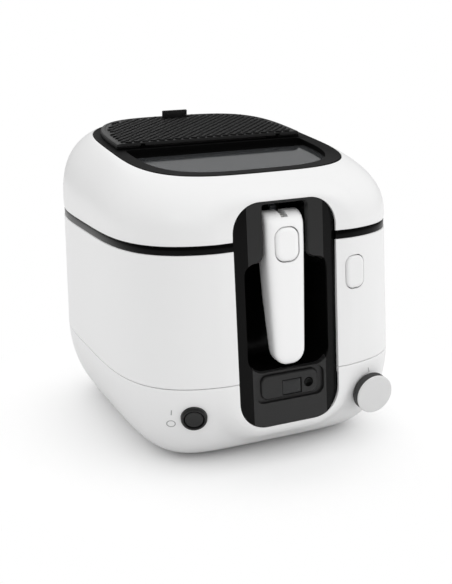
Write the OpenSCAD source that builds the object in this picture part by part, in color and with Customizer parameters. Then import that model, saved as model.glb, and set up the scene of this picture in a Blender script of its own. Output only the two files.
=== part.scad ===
// Household deep fryer: white casing with a black rim, a hinged lid with a window and a filter
// hatch, a basket that a fold-down handle lifts, a timer, a thermostat knob and a power button.
// Millimetres, +Z up, front towards -Y, origin under the middle of the bounding box.

/* [Casing] */
// Width of the casing at the rim
casing_w = 276; // [264:1:300]
// Depth of the casing at the rim
casing_d = 328.8; // [322:0.2:350]
// Squareness of the casing outline, as a superellipse exponent
casing_n = 3.84; // [3.5:0.02:4.6]
// Height of the rim above the table
rim_z = 211.7; // [208:0.1:216]
// Height of the black rim band
band_h = 7.8; // [6:0.1:10]
// Height of the seam between the base and the upper casing
seam_z = 84.3; // [80:0.1:90]
// Outward growth of the casing at the seam
seam_grow = 3.3; // [1:0.1:5]
// Wall of the plastic casings
wall = 2.5; // [2:0.1:3]
// Inward curve of the base from the seam to its foot
base_inset = 47.8; // [40:0.2:52]
// Roundness of the base, higher is squarer
base_round = 1.86; // [1.6:0.02:2.2]
// Squareness of the base outline at its foot
base_n = 6.5; // [4:0.1:7]
// Rearward shift of the foot outline
base_back = 8.6; // [0:0.2:10]
// Height of the rubber feet
foot_h = 3; // [2:0.1:5]
// Radius of the rubber feet
foot_r = 9; // [6:0.5:12]

/* [Lid] */
// Rise of the lid crown above the rim, at mid depth
lid_rise = 79.9; // [78:0.1:90]
// Slope of the lid crown towards the rear
lid_slope = 0.143; // [0.1:0.005:0.17]
// Roundness of the lid shoulder, higher is squarer
lid_round = 2.77; // [2.4:0.02:3]
// Inward run of the lid shoulder along the width
lid_run_x = 99; // [90:0.5:105]
// Inward run of the lid shoulder along the depth
lid_run_y = 132; // [120:0.5:138]
// Squareness of the lid outline at the crown
lid_n = 2.94; // [2.6:0.02:3.6]
// Angle along the shoulder where the black top panel starts
panel_at = 52.5; // [48:0.5:56]
// Depth of the window recess below the top panel
recess_depth = 5; // [3:0.2:6]
// Width of the top panel's rim around the window
window_margin = 14; // [10:0.5:20]
// Thickness of the window pane
pane_t = 2; // [1.5:0.1:2.5]
// Inset of the filter hatch from the sides of the top panel
hatch_side = 8.7; // [6:0.1:12]
// Thickness of the filter hatch
hatch_t = 5; // [4:0.1:6]
// Depth of the filter bay below the top panel
bay_depth = 14; // [10:0.5:16]
// Width of the hatch tab
tab_w = 28.5; // [20:0.5:36]
// Height of the hatch tab above the hatch
tab_h = 8; // [5:0.5:12]
// Largest opening angle of the lid
lid_open = 80; // [60:1:85]
// Radius of the lid hinge pin
hinge_pin_r = 3; // [2:0.1:4]
// Radius of the hinge lugs
lug_r = 6.2; // [5.5:0.1:7]

/* [Bowl and basket] */
// Inside width of the oil bowl
bowl_w = 202; // [190:1:206]
// Inside depth of the oil bowl
bowl_d = 212; // [200:1:214]
// Corner radius of the oil bowl
bowl_r = 47; // [40:1:56]
// Wall of the oil bowl
bowl_t = 1.2; // [0.8:0.1:2]
// Height of the bowl floor
bowl_floor = 88; // [86:0.5:96]
// Rearward place of the bowl centre from the casing centre
bowl_y = 20; // [18:0.5:24]
// Width of the bowl flange
flange_w = 9; // [6:0.5:10]
// Clearance between the basket and the bowl
basket_gap = 6; // [4:0.5:12]
// Height of the basket
basket_h = 104; // [90:1:106]
// Height of the wire feet under the basket
basket_foot_h = 6.5; // [4:0.5:12]
// Wall of the basket mesh
mesh_t = 1.6; // [1.2:0.1:2.4]

/* [Console and handle] */
// Width of the front console
console_w = 100; // [94:0.5:106]
// Height of the console's lower edge
console_low = 40; // [36:0.5:46]
// Corner radius of the console
console_r = 26; // [18:0.5:32]
// Lean of the console face, rearward run per unit of height
face_lean = 0.0426; // [0.03:0.001:0.06]
// Distance that the face plane stands in front of the casing at the table
face_proud = 5.7; // [4:0.1:7]
// Width of the smooth flare of the casing around the console
flare_w = 24; // [16:0.5:30]
// Width of the finger pocket behind the handle
pocket_w = 80; // [70:1:84]
// Depth of the finger pocket
pocket_depth = 42; // [34:0.5:43]
// Height of the finger pocket's lower edge
pocket_low = 92; // [90:0.5:98]
// Height of the finger pocket's upper edge
pocket_high = 191; // [184:0.5:193]
// Width of the handle at its hub
handle_w = 38; // [34:0.2:40]
// Width of the handle near its free end
handle_tip_w = 31; // [26:0.2:34]
// Thickness of the handle
handle_t = 19; // [16:0.2:21]
// Height of the handle's free end
handle_low = 95.5; // [94:0.5:104]
// Side clearance of the handle in its channel
handle_gap = 2.5; // [1:0.1:4]
// Height of the handle pivot
pivot_z = 220; // [219:0.2:221]
// Distance of the handle pivot behind the console face
pivot_in = 14.8; // [14.4:0.1:15.4]
// Radius of the handle axle
axle_r = 4; // [3:0.1:4.5]
// Largest turn of the handle
handle_turn = 90; // [60:1:90]

/* [Lift gear] */
// Number of teeth of both lift gears
gear_teeth = 12; // [12:1:12]
// Module of the lift gears
gear_module = 1.5; // [1.4:0.02:1.56]
// Width of the lift gears
gear_w = 6; // [4:0.2:8]
// Length of the lift lever
lever_len = 26; // [22:0.5:27]
// Rise of the gear centre line towards the rear
gear_line = 28.1; // [26:0.5:30]
// Radius of the lever axle
lever_axle_r = 3; // [2.4:0.1:3.4]
// Radius of the lift bar
lift_bar_r = 2.5; // [2:0.1:3]
// Half length of the lift bar
lift_bar_half = 11.5; // [9:0.5:12]
// Play between the lift bar and the basket straps
lift_play = 1; // [0.9:0.05:1.5]

/* [Controls] */
// Sideways place of the thermostat knob
knob_x = 87.2; // [80:0.2:94]
// Height of the thermostat knob
knob_z = 53.4; // [46:0.2:58]
// Radius of the thermostat knob
knob_r = 19; // [16:0.5:22]
// Height of the knob above the nearest point of the casing
knob_h = 10; // [8:0.5:12]
// Sideways turn of the knob's axis
knob_yaw = 2.2; // [0:0.2:12]
// Upward tilt of the knob's axis
knob_pitch = -6.6; // [-12:0.2:4]
// Sideways place of the power button, towards -X
power_x = 90.3; // [80:0.5:96]
// Height of the power button
power_z = 56.3; // [50:0.5:62]
// Radius of the power button's ring
power_r = 11.8; // [10:0.2:14]
// Travel of the power button
power_travel = 2.5; // [1:0.1:3]
// Sideways place of the lid release button
release_x = 70; // [66:0.5:76]
// Height of the lid release button
release_z = 172; // [166:0.5:176]
// Width of the lid release button
release_w = 20; // [16:0.5:24]
// Height of the lid release button's face
release_h = 30; // [24:0.5:34]
// Travel of the lid release button
release_travel = 3; // [2:0.1:3.5]
// Height of the timer's middle
timer_z = 76.5; // [75:0.2:77]
// Width of the timer plate
timer_w = 60; // [50:0.5:62]
// Height of the timer plate
timer_h = 23; // [20:0.2:24]
// Travel of the timer button
timer_travel = 0.8; // [0.4:0.1:1]
// Width of the release on the handle
grip_button_w = 22.5; // [18:0.5:25]
// Height of the release on the handle
grip_button_h = 30; // [24:0.5:32]
// Travel of the release on the handle
grip_travel = 1.5; // [1:0.1:2]

/* [Fits] */
// Radial clearance of turning fits
turn_fit = 0.05; // [0.02:0.01:0.1]
// Clearance around sliding buttons
slide_fit = 0.4; // [0.3:0.05:0.6]
// Clearance between pieces that lie side by side
seat_gap = 0.3; // [0.2:0.05:0.4]
// Radius of the casing screws
screw_r = 1.5; // [1.2:0.1:2]

/* [Hidden] */
$fn = 48;

white = "#ececec";
black = "#242424";
steel = "#b8bcc0";
half_w = casing_w / 2;
half_d = casing_d / 2;
band_low = rim_z - band_h;
console_top = rim_z + 32.7;
hinge_y = half_d + 6.8;
hinge_z = rim_z + 2.5;
deck_t = 3;

// Directions of the outline points: finer at the front, where the casing flares to the console
ring_angles = concat([for (a = [0:6:240]) a], [for (a = [243:3:297]) a], [for (a = [300:6:354]) a]);

// Console face: its y at a height
function face_y(z) = -half_d - face_proud + face_lean * z;
face_tilt = atan(face_lean);

// Superellipse radius in one direction
function polar_r(phi, a, b, n) = pow(pow(abs(cos(phi)) / a, n) + pow(abs(sin(phi)) / b, n), -1 / n);

// Distance outside the console outline, and how far the casing is drawn to the console face there
console_mid = (console_top + console_low) / 2;
console_h = console_top - console_low;
function outside(dx, dz, r) = norm([max(dx + r, 0), max(dz + r, 0)]) + min(max(dx, dz) + r, 0) - r;
function ease(t) = let (u = min(max(t, 0), 1)) 1 - u * u * (3 - 2 * u);
flare_top = 14;
function flare_z(z) = z > console_top - console_r
    ? (z - console_top) * flare_w / flare_top : abs(z - console_mid) - console_h / 2;
function flare(x, z) = ease(outside(abs(x) - console_w / 2, flare_z(z), console_r) / flare_w);
function flared(p, inset) = p.y > 0 ? p
    : [p.x, p.y + (face_y(p.z) + inset - p.y) * flare(p.x, p.z), p.z];

// One outline of the casing, with an optional slope of its height along the depth
function ring(a, b, n, z, cy = 0, slope = 0, inset = 0) = [for (phi = ring_angles)
    let (r = polar_r(phi, a - inset, b - inset, n), x = r * cos(phi), y = r * sin(phi))
    flared([x, y + cy, z + slope * y], inset)];

// Upper casing between the seam and the band
function body_ring(z, inset = 0) = let (g = seam_grow * (band_low - z) / (band_low - seam_z))
    ring(half_w + g, half_d + g, casing_n, z, inset = inset);

// Base below the seam: t runs from 0 at the seam to 90 at the foot
function base_k(t) = 1 - pow(cos(t), 2 / base_round);
function base_height(t) = seam_z - (seam_z - foot_h) * pow(sin(t), 2 / base_round);
function base_ring(t, inset = 0, z = undef) = let (k = base_k(t), in = base_inset * k - seam_grow)
    ring(half_w - in, half_d - in, casing_n + (base_n - casing_n) * k,
         is_undef(z) ? base_height(t) : z, base_back * k, 0, inset);

// Lid: t runs from 0 at the rim to panel_at at the edge of the top panel
function lid_k(t) = 1 - pow(cos(t), 2 / lid_round);
function lid_s(t) = pow(sin(t), 2 / lid_round);
function lid_ring(t, inset = 0, drop = 0) = let (k = lid_k(t), s = lid_s(t))
    ring(half_w - lid_run_x * k, half_d - lid_run_y * k, casing_n + (lid_n - casing_n) * k,
         rim_z + seat_gap + (lid_rise - seat_gap) * s - drop, 0, lid_slope * s, inset);

// Top panel plane
panel_t = 2.4;
panel_k = lid_k(panel_at);
panel_s = lid_s(panel_at);
panel_z = rim_z + seat_gap + (lid_rise - seat_gap) * panel_s;
panel_tilt = atan(lid_slope * panel_s);
panel_a = half_w - lid_run_x * panel_k;
panel_b = (half_d - lid_run_y * panel_k) / cos(panel_tilt);
panel_n = casing_n + (lid_n - casing_n) * panel_k;

// Casing wall at the front: y at a place, and the yaw and pitch of its outward normal
function wall_t(z) = asin(pow((seam_z - z) / (seam_z - foot_h), base_round / 2));
function wall_y(x, z) = z >= seam_z
    ? let (g = seam_grow * (band_low - z) / (band_low - seam_z))
        -(half_d + g) * pow(1 - pow(abs(x) / (half_w + g), casing_n), 1 / casing_n)
    : let (k = base_k(wall_t(z)), in = base_inset * k - seam_grow,
           n = casing_n + (base_n - casing_n) * k)
        base_back * k - (half_d - in) * pow(1 - pow(abs(x) / (half_w - in), n), 1 / n);
function wall_yaw(x, z) = atan(wall_y(x + 0.5, z) - wall_y(x - 0.5, z));
function wall_pitch(x, z) = atan((wall_y(x, z + 0.5) - wall_y(x, z - 0.5)) * cos(wall_yaw(x, z)));

// Distance that the wall stands out of the knob's plane, at the place (u, v) on that plane
function knob_out(u, v) =
    (wall_y(knob_x, knob_z) + u * sin(knob_yaw) + v * sin(knob_pitch)
     - wall_y(knob_x + u * cos(knob_yaw), knob_z + v * cos(knob_pitch))) / (cos(knob_yaw) * cos(knob_pitch));
function knob_ring(r) = [for (t = [0:15:345]) knob_out(r * cos(t), r * sin(t))];
knob_stand = max(knob_ring(knob_r));
control_r = 14;
control_in = knob_stand - min(knob_ring(control_r)) + 2 * wall;

// Placement: the casing's own centre is moved so that the bounding box is centred on the origin
knob_front = cos(knob_yaw) * cos(knob_pitch);
front_y = min(face_y(console_low),
              wall_y(knob_x, knob_z) - (knob_stand + knob_h) * knob_front
              - knob_r * sqrt(1 - knob_front * knob_front));
rear_y = hinge_y + lug_r;
module at_home() { translate([0, -(front_y + rear_y) / 2, 0]) children(); }
module on_face() { translate([0, face_y(0), 0]) rotate([-face_tilt, 0, 0]) children(); }
module on_top() { translate([0, 0, panel_z]) rotate([panel_tilt, 0, 0]) children(); }
// Local -Y points out along the knob's axis, from the height of the wall's nearest point
module at_knob() {
    translate([knob_x, wall_y(knob_x, knob_z), knob_z])
        rotate([0, 0, knob_yaw]) rotate([-knob_pitch, 0, 0]) translate([0, -knob_stand, 0]) children();
}
// Local -Y points out of the casing wall
module on_wall(x, z) {
    translate([x, wall_y(x, z), z])
        rotate([0, 0, wall_yaw(x, z)]) rotate([-wall_pitch(x, z), 0, 0]) children();
}

// Basic shapes
module rounded_rect(w, h, r) {
    square([w - 2 * r, h], center = true);
    square([w, h - 2 * r], center = true);
    for (sx = [-1, 1], sy = [-1, 1]) translate([sx * (w / 2 - r), sy * (h / 2 - r)]) circle(r);
}
module slab(w, d, r, h) { linear_extrude(h) rounded_rect(w, d, r); }
module box(x, y, z) { translate([x[0], y[0], z[0]]) cube([x[1] - x[0], y[1] - y[0], z[1] - z[0]]); }
// Prism of a front view (x, z), from one depth to another behind the plane y = 0
module front_prism(from, to) {
    rotate([90, 0, 0]) translate([0, 0, -to]) linear_extrude(to - from) children();
}
// Prism of a side view (y, z), centred on x = 0
module side_prism(w) { rotate([90, 0, 90]) translate([0, 0, -w / 2]) linear_extrude(w) children(); }
// Cylinder along X, centred on x = 0
module rod_x(r, len) { rotate([0, 90, 0]) cylinder(r = r, h = len, center = true); }
// Cylinder along Y from one depth to another
module rod_y(r, from, to) { translate([0, from, 0]) rotate([-90, 0, 0]) cylinder(r = r, h = to - from); }
// Closed wall that follows a list of outlines and returns to the first
module wall_loft(rings) {
    n = len(ring_angles);
    m = len(rings);
    polyhedron([for (r = rings) each r], [for (j = [0:m - 1], i = [0:n - 1])
        let (a = j * n + i, b = j * n + (i + 1) % n,
             c = (j + 1) % m * n + i, d = (j + 1) % m * n + (i + 1) % n)
        each [[a, c, d], [a, d, b]]], convexity = 8);
}

// ---- Base ----
lip_gap = 0.8;
lip_h = 5;
function lip_ring(z, inset) = ring(half_w + seam_grow, half_d + seam_grow, casing_n, z, inset = inset);
base_steps = [0, 12, 24, 36, 48, 60, 72, 82, 90];
floor_z = foot_h + wall;
floor_margin = 26;
cover_w = 2 * (half_w - base_inset - floor_margin + seam_grow);
cover_d = 2 * (half_d - base_inset - floor_margin + seam_grow);
cover_r = 24;
cover_lip = 5;
foot_in = 14;
foot_x = half_w - base_inset - foot_in;
foot_y = half_d - base_inset - foot_in;
module four_feet() {
    for (sx = [-1, 1], sy = [-1, 1]) translate([sx * foot_x, base_back + sy * foot_y, 0]) children();
}
module four_covers() {
    for (sx = [-1, 1], sy = [-1, 1])
        translate([sx * cover_w / 3, base_back + sy * (cover_d / 2 + cover_lip), 0]) children();
}
stud_r = 2;
inlet_x = -60;
inlet_z = 45;
module base_tray() color(white) at_home() difference() {
    union() {
        difference() {
            wall_loft(concat(
                [for (i = [len(base_steps) - 1:-1:0]) base_ring(base_steps[i])],
                [for (t = [0, 24, 48, 66]) base_ring(t, wall)],
                [base_ring(90, wall, floor_z), base_ring(90, floor_margin / 2, floor_z),
                 base_ring(90, floor_margin / 2, foot_h)]));
            on_face() front_prism(-20, 60) console_outline(seat_gap);
        }
        console_tabs();
        translate([0, base_back, foot_h]) difference() {
            slab(cover_w + 40, cover_d + 44, cover_r, wall);
            translate([0, 0, -1]) slab(cover_w, cover_d, cover_r, wall + 2);
        }
    }
    translate([0, 0, foot_h - 1]) four_feet() cylinder(r = foot_r / 2, h = wall + 2);
    translate([0, 0, foot_h - 1]) four_covers() cylinder(r = screw_r + turn_fit, h = wall + 2);
    translate([0, 0, foot_h - 1]) four_covers() cylinder(r = 2 * screw_r + turn_fit, h = wall / 2 + 1);
    on_wall(-power_x, power_z) rod_y(power_r - 2, -20, 20);
    on_wall(-power_x, power_z) rod_y(power_r + seat_gap, -20, ring_seat);
    at_knob() rod_y(bush_r, -20, knob_stand + 20);
    on_rear_wall(inlet_x, inlet_z) rod_y(inlet_r, -20, 20);
}
inlet_r = 7;
bush_r = 5;
ring_seat = 1.4;
tab_t = 2.4;
tab_x = console_w / 2 + seat_gap + tab_t;
tab_low = console_low + 8;
tab_high = pocket_low - 10;
// Brackets beside the console opening that take the console screws
module console_tabs() {
    on_face() for (s = [-1, 1]) difference() {
        x = console_w / 2 + seat_gap;
        union() {
            mirror([s < 0 ? 1 : 0, 0, 0])
                box([x, x + tab_t], [wall / 2, skirt_depth + tab_t], [tab_low, tab_high]);
            mirror([s < 0 ? 1 : 0, 0, 0])
                box([post_x - 5, x + tab_t], [skirt_depth, skirt_depth + tab_t], [tab_low, tab_high]);
        }
        console_posts() rod_y(screw_r + turn_fit, 3, skirt_depth + tab_t + 1);
    }
}

module bottom_cover() color(black) at_home() translate([0, base_back, 0]) difference() {
    union() {
        translate([0, 0, foot_h])
            slab(cover_w - 2 * seat_gap, cover_d - 2 * seat_gap, cover_r - seat_gap, wall);
        translate([0, 0, floor_z])
            slab(cover_w + 2 * cover_lip, cover_d + 4 * cover_lip, cover_r + cover_lip, wall);
    }
    for (i = [-4:4]) translate([0, i * 10, foot_h - 1]) linear_extrude(2 * wall + 2)
        square([70, 4], center = true);
    translate([0, -base_back, foot_h - 1]) four_covers() cylinder(r = screw_r + turn_fit, h = 2 * wall + 2);
}
module cover_screws() color(steel) at_home() four_covers() translate([0, 0, foot_h + wall / 2]) {
    rotate([180, 0, 0]) cylinder(r = 2 * screw_r, h = wall / 2 - 0.2);
    cylinder(r = screw_r, h = wall * 1.5);
}
module rubber_feet() color("#303030") at_home() four_feet() {
    cylinder(r = foot_r, h = foot_h);
    cylinder(r = foot_r / 2 - turn_fit, h = foot_h + wall);
}

// ---- Upper casing and rim ----
module body_shell() color(white) at_home() difference() {
    wall_loft([
        lip_ring(seam_z - lip_h, wall + lip_gap), lip_ring(seam_z, wall + lip_gap), body_ring(seam_z),
        body_ring((seam_z * 2 + band_low) / 3), body_ring((seam_z + band_low * 2) / 3),
        body_ring(band_low),
        body_ring(band_low, wall), lip_ring(seam_z, 2 * wall), lip_ring(seam_z - lip_h, 2 * wall)]);
    on_face() front_prism(-20, 60) console_outline(seat_gap);
    on_wall(release_x, release_z) front_prism(-20, 20)
        rounded_rect(release_w + 2 * slide_fit, release_h + 2 * slide_fit, release_round);
    // the lip passes around the console's brackets
    on_face() box([-tab_x - seat_gap, tab_x + seat_gap], [wall, 2 * skirt_depth],
        [seam_z - lip_h - 1, tab_high + seat_gap]);
}
release_round = release_w * 0.4;
module bowl_at() { translate([0, bowl_y, 0]) children(); }
horn_depth = pivot_in + 22.2;
well_half = lift_bar_half + 1.5;
well_front = face_y(rim_z) + horn_depth;
flange_front = bowl_y - bowl_d / 2 - bowl_t - flange_w;
latch_w = 12;
latch_t = 4;
latch_room = 1.5;
latch_in = 12.5;
latch_y = wall_y(release_x, release_z) + latch_in;
lug_w = 12;
lug_inner = 27;
module lug(x0, x1) {
    translate([(x0 + x1) / 2, hinge_y, hinge_z]) rod_x(lug_r, x1 - x0);
}
module band_outline(inset) {
    polygon([for (p = ring(half_w, half_d, casing_n, band_low + band_h / 2, inset = inset)) [p.x, p.y]]);
}
module rim_band() color(black) at_home() difference() {
    union() {
        translate([0, 0, band_low]) linear_extrude(band_h) band_outline(0);
        for (s = [-1, 1]) {
            lug(s * lug_inner - lug_w / 2, s * lug_inner + lug_w / 2);
            box([s * lug_inner - lug_w / 2, s * lug_inner + lug_w / 2],
                [half_d - 8, hinge_y], [hinge_z - lug_r, rim_z]);
        }
    }
    translate([0, 0, band_low - 1]) linear_extrude(band_h - deck_t + 1) band_outline(3 * wall);
    bowl_at() translate([0, 0, band_low - 1])
        slab(bowl_w + 2 * bowl_t + 2 * seat_gap, bowl_d + 2 * bowl_t + 2 * seat_gap, bowl_r + bowl_t,
            band_h + 2);
    on_face() front_prism(-20, horn_depth + seat_gap) console_outline(seat_gap);
    box([-well_half, well_half], [well_front - 6, max(flange_front - 1, bar_y + lift_bar_r + 2)],
        [band_low - 1, rim_z + 1]);
    on_wall_yaw() box([-latch_w / 2 - latch_room, latch_w / 2 + latch_room],
        [latch_in - latch_room, latch_in + latch_t + release_travel + latch_room],
        [band_low - 1 - release_z, rim_z + 1 - release_z]);
    for (s = [-1, 1]) translate([s * lug_inner, hinge_y, hinge_z]) rod_x(hinge_pin_r + turn_fit, lug_w + 2);
}

// ---- Bowl, heater and sensors ----
shield_gap = 20;
bowl_h = rim_z - bowl_floor + bowl_t;
flange_out = bowl_t + flange_w;
stud_circle = 52;
module three_studs() {
    bowl_at() for (a = [90, 210, 330]) rotate(a) translate([stud_circle, 0, 0]) children();
}
module oil_bowl() color("#8a8d90") at_home() {
    bowl_at() difference() {
        union() {
            translate([0, 0, bowl_floor])
                slab(bowl_w + 2 * bowl_t, bowl_d + 2 * bowl_t, bowl_r + bowl_t, bowl_h);
            translate([0, 0, rim_z])
                slab(bowl_w + 2 * flange_out, bowl_d + 2 * flange_out, bowl_r + flange_out, bowl_t);
        }
        translate([0, 0, bowl_floor + bowl_t]) slab(bowl_w, bowl_d, bowl_r, rim_z);
    }
    three_studs() translate([0, 0, bowl_floor - shield_gap - 6]) cylinder(r = stud_r, h = shield_gap + 6);
}
element_r = 72;
element_w = 8;
terminal_x = 14;
module heating_element() color("#5a5a5c") at_home() bowl_at() {
    difference() {
        translate([0, 0, bowl_floor - element_w]) rotate_extrude() translate([element_r, element_w / 2]) {
            circle(element_w / 2);
            translate([-element_w / 4, 0]) square([element_w / 2, element_w / 2]);
        }
        box([-12, 12], [-element_r - 10, -element_r + 10], [bowl_floor - element_w - 1, bowl_floor + 1]);
    }
    for (s = [-1, 1]) translate([s * terminal_x, -element_r + 1.2, bowl_floor - element_w - 10])
        cylinder(r = 3, h = 14);
}
module heat_shield() color(steel) at_home() bowl_at() difference() {
    translate([0, 0, bowl_floor - shield_gap - 1]) union() {
        cylinder(r = element_r + 16, h = 1);
        difference() {
            cylinder(r = element_r + 16, h = 9);
            translate([0, 0, -1]) cylinder(r = element_r + 15, h = 11);
        }
    }
    translate([0, -bowl_y, bowl_floor - shield_gap - 5]) three_studs() cylinder(r = stud_r + turn_fit, h = 9);
    for (s = [-1, 1]) translate([s * terminal_x, -element_r + 1.2, bowl_floor - shield_gap - 5])
        cylinder(r = 5, h = 9);
}
module shield_nuts() color(steel) at_home() three_studs() translate([0, 0, bowl_floor - shield_gap - 4])
    difference() {
    cylinder(r = 4, h = 3, $fn = 6);
    translate([0, 0, -1]) cylinder(r = stud_r + turn_fit, h = 5);
}
module sensor_bulb() color("#b87333") at_home() {
    bowl_at() translate([-35, 20, bowl_floor - 3]) rod_x(3, 50);
    bowl_at() box([-40, -30], [14, 26], [bowl_floor - 1, bowl_floor]);
    bowl_at() translate([-6, 20, bowl_floor - 3]) rod_x(1, 24);
}
module thermal_fuse() color("#c8c8c8") at_home() bowl_at() translate([30, -46, bowl_floor]) {
    translate([0, 0, -4]) rod_x(3, 18);
    box([-4, 4], [-6, 6], [-1.4, 0]);
    translate([0, 0, -4]) rod_x(1, 30);
}

// ---- Electrics ----
module thermostat() color("#d8d4c8") at_home() at_knob() difference() {
    union() {
        rod_y(bush_r - turn_fit, knob_stand - 2, control_in);
        rod_y(control_r, control_in, control_in + control_t);
        for (s = [-1, 1])
            box([s * 8 - 2, s * 8 + 2], [control_in + control_t, control_in + control_t + 7], [-1, 1]);
    }
    rod_y(knob_shaft_r + turn_fit, knob_stand - 3, control_in + shaft_depth + 1);
}
control_t = 18;
shaft_depth = 11;
knob_shaft_r = 3;
module power_ring() color(black) at_home() on_wall(-power_x, power_z) difference() {
    union() {
        rod_y(power_r, -3.2, ring_seat);
        rod_y(power_r - 2 - turn_fit, 0, wall + 10);
    }
    rod_y(power_cap_r + slide_fit, -5, wall + 12);
}
power_cap_r = power_r - 3.4;
module power_switch() color("#404040") at_home() on_wall(-power_x, power_z) difference() {
    box([-10, 10], [wall + 10, wall + 28], [-9, 9]);
    rod_y(4, wall + 9, wall + 13 + power_travel);
}
module power_button() color(black) at_home() on_wall(-power_x, power_z) {
    rod_y(power_cap_r, -2.4, wall + 9 - power_travel);
    rod_y(3.5, wall, wall + 10 + 2);
}
module terminal_block() color("#e4e0d4") at_home() translate([inlet_x + 16, 96, floor_z + wall])
    difference() {
    box([-14, 14], [0, 14], [0, 15]);
    for (x = [-8, 0, 8]) translate([x, -1, 7]) rod_y(2.2, 0, 16);
}
module cord_inlet() color(black) at_home() on_rear_wall(inlet_x, inlet_z) difference() {
    union() {
        rod_y(inlet_r - turn_fit, -12, 1);
        rod_y(inlet_r + 3, 0.3, 3.3);
        rod_y(inlet_r + 2, -12, -7);
    }
    rod_y(3.6, -16, 6);
}
// Casing wall at the rear; local +Y points out of it
function rear_wall(x, z) = let (k = base_k(wall_t(z))) 2 * base_back * k - wall_y(x, z);
module on_rear_wall(x, z) {
    yaw = atan(rear_wall(x + 0.5, z) - rear_wall(x - 0.5, z));
    pitch = atan((rear_wall(x, z + 0.5) - rear_wall(x, z - 0.5)) * cos(yaw));
    translate([x, rear_wall(x, z), z]) rotate([0, 0, yaw]) rotate([-pitch, 0, 0]) children();
}

// ---- Console ----
module console_outline(grow) {
    translate([0, console_mid]) rounded_rect(console_w + 2 * grow, console_h + 2 * grow, console_r + grow);
}
module pocket_outline(grow) {
    translate([0, (pocket_low + pocket_high) / 2])
        rounded_rect(pocket_w + 2 * grow, pocket_high - pocket_low + 2 * grow, 15 + grow);
}
skirt_depth = 16;
channel_half = handle_w / 2 + handle_gap;
horn_wall = 2.4;
channel_top = console_top - horn_wall;
channel_low = pocket_high - 20;
channel_depth = horn_depth - wall;
timer_pocket_w = timer_w + 9;
timer_pocket_h = timer_h + 5;
timer_depth = 3;
module timer_outline(w, h) { translate([0, timer_z]) rounded_rect(w, h, 7); }
post_x = console_w / 2 - 9;
post_r = 3.6;
horn_mid = (channel_half + console_w / 2) / 2;
well_low = pocket_high + wall + 0.5;
axle_half = channel_half + 6;
module console_posts() {
    for (sx = [-1, 1], z = [console_low + 16, timer_z]) translate([sx * post_x, 0, z]) children();
}
pivot_y = face_y(pivot_z) + pivot_in;
gear_r = gear_teeth * gear_module / 2;
lever_y = pivot_y + 2 * gear_r * cos(gear_line);
lever_z = pivot_z + 2 * gear_r * sin(gear_line);
module console() color(black) at_home() difference() {
    union() {
        on_face() difference() {
            front_prism(0, skirt_depth) console_outline(0);
            front_prism(wall, skirt_depth + 1) console_outline(-wall);
        }
        on_face() intersection() {
            front_prism(0, horn_depth) console_outline(0);
            box([-console_w, console_w], [0, horn_depth], [rim_z - 16, console_top + 1]);
        }
        on_face() front_prism(0, pocket_depth + wall) pocket_outline(wall);
        on_face() front_prism(0, timer_depth + wall)
            timer_outline(timer_pocket_w + 2 * wall, timer_pocket_h + 2);
        on_face() console_posts() rod_y(post_r, 1, skirt_depth);
    }
    on_face() front_prism(-1, pocket_depth) pocket_outline(0);
    on_face() box([-channel_half, channel_half], [-1, channel_depth], [channel_low, channel_top]);
    // Hollow horns, open at their lower ends
    on_face() for (s = [-1, 1]) mirror([s < 0 ? 1 : 0, 0, 0])
        box([horn_mid - 9, horn_mid + 9], [wall, horn_depth - wall], [rim_z - 20, rim_z + 14]);
    on_face() front_prism(-1, timer_depth) timer_outline(timer_pocket_w, timer_pocket_h);
    on_face() front_prism(-1, timer_depth + 6) timer_outline(timer_w - 6, timer_h - 6);
    // Way of the lift lever and the basket straps through the back of the horn
    on_face() box([-well_half, well_half], [lever_front, horn_depth + 1], [well_low, console_top + 1]);
    translate([0, pivot_y, pivot_z]) rod_x(axle_r + turn_fit, 2 * axle_half);
    translate([0, lever_y, lever_z]) rod_x(lever_axle_r + turn_fit, 2 * axle_half);
    on_face() console_posts() rod_y(screw_r + turn_fit, 3, skirt_depth + 1);
}
lever_front = channel_depth - 5;
module console_screws() color(steel) at_home() on_face() console_posts() {
    rod_y(screw_r, 5, skirt_depth + tab_t);
    rod_y(2 * screw_r, skirt_depth + tab_t, skirt_depth + tab_t + 1.6);
}
display_w = 19;
display_h = 14;
module display_at() { translate([2, timer_z - 2.5]) children(); }
timer_button_x = 19;
timer_button_r = 4.2;
module timer_plate() color("#2c2c2c") at_home() on_face() difference() {
    front_prism(timer_depth - 2.2, timer_depth) timer_outline(timer_w, timer_h);
    front_prism(-1, timer_depth + 1) display_at() square([display_w + 0.1, display_h + 0.1], center = true);
    translate([timer_button_x, 0, timer_z - 1]) rod_y(timer_button_r + slide_fit, -1, timer_depth + 1);
}
module timer_display() color("#3a3c3e") at_home() on_face()
    front_prism(timer_depth - 2, timer_depth) display_at() square([display_w, display_h], center = true);
board_y = timer_depth + 3.5;
module timer_board() color("#2e6b3a") at_home() on_face()
    front_prism(board_y, board_y + 1.6) translate([0, timer_z])
        square([timer_w - 7, timer_h - 7], center = true);
module timer_battery() color(steel) at_home() on_face()
    translate([-14, 0, timer_z]) rod_y(7, board_y + 1.6, board_y + 4.6);
module timer_button() color("#303030") at_home() on_face() translate([timer_button_x, 0, timer_z - 1]) {
    rod_y(timer_button_r, timer_depth - 2.6, timer_depth + 0.6);
    rod_y(1.5, timer_depth, board_y - timer_travel - 0.2);
}

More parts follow.
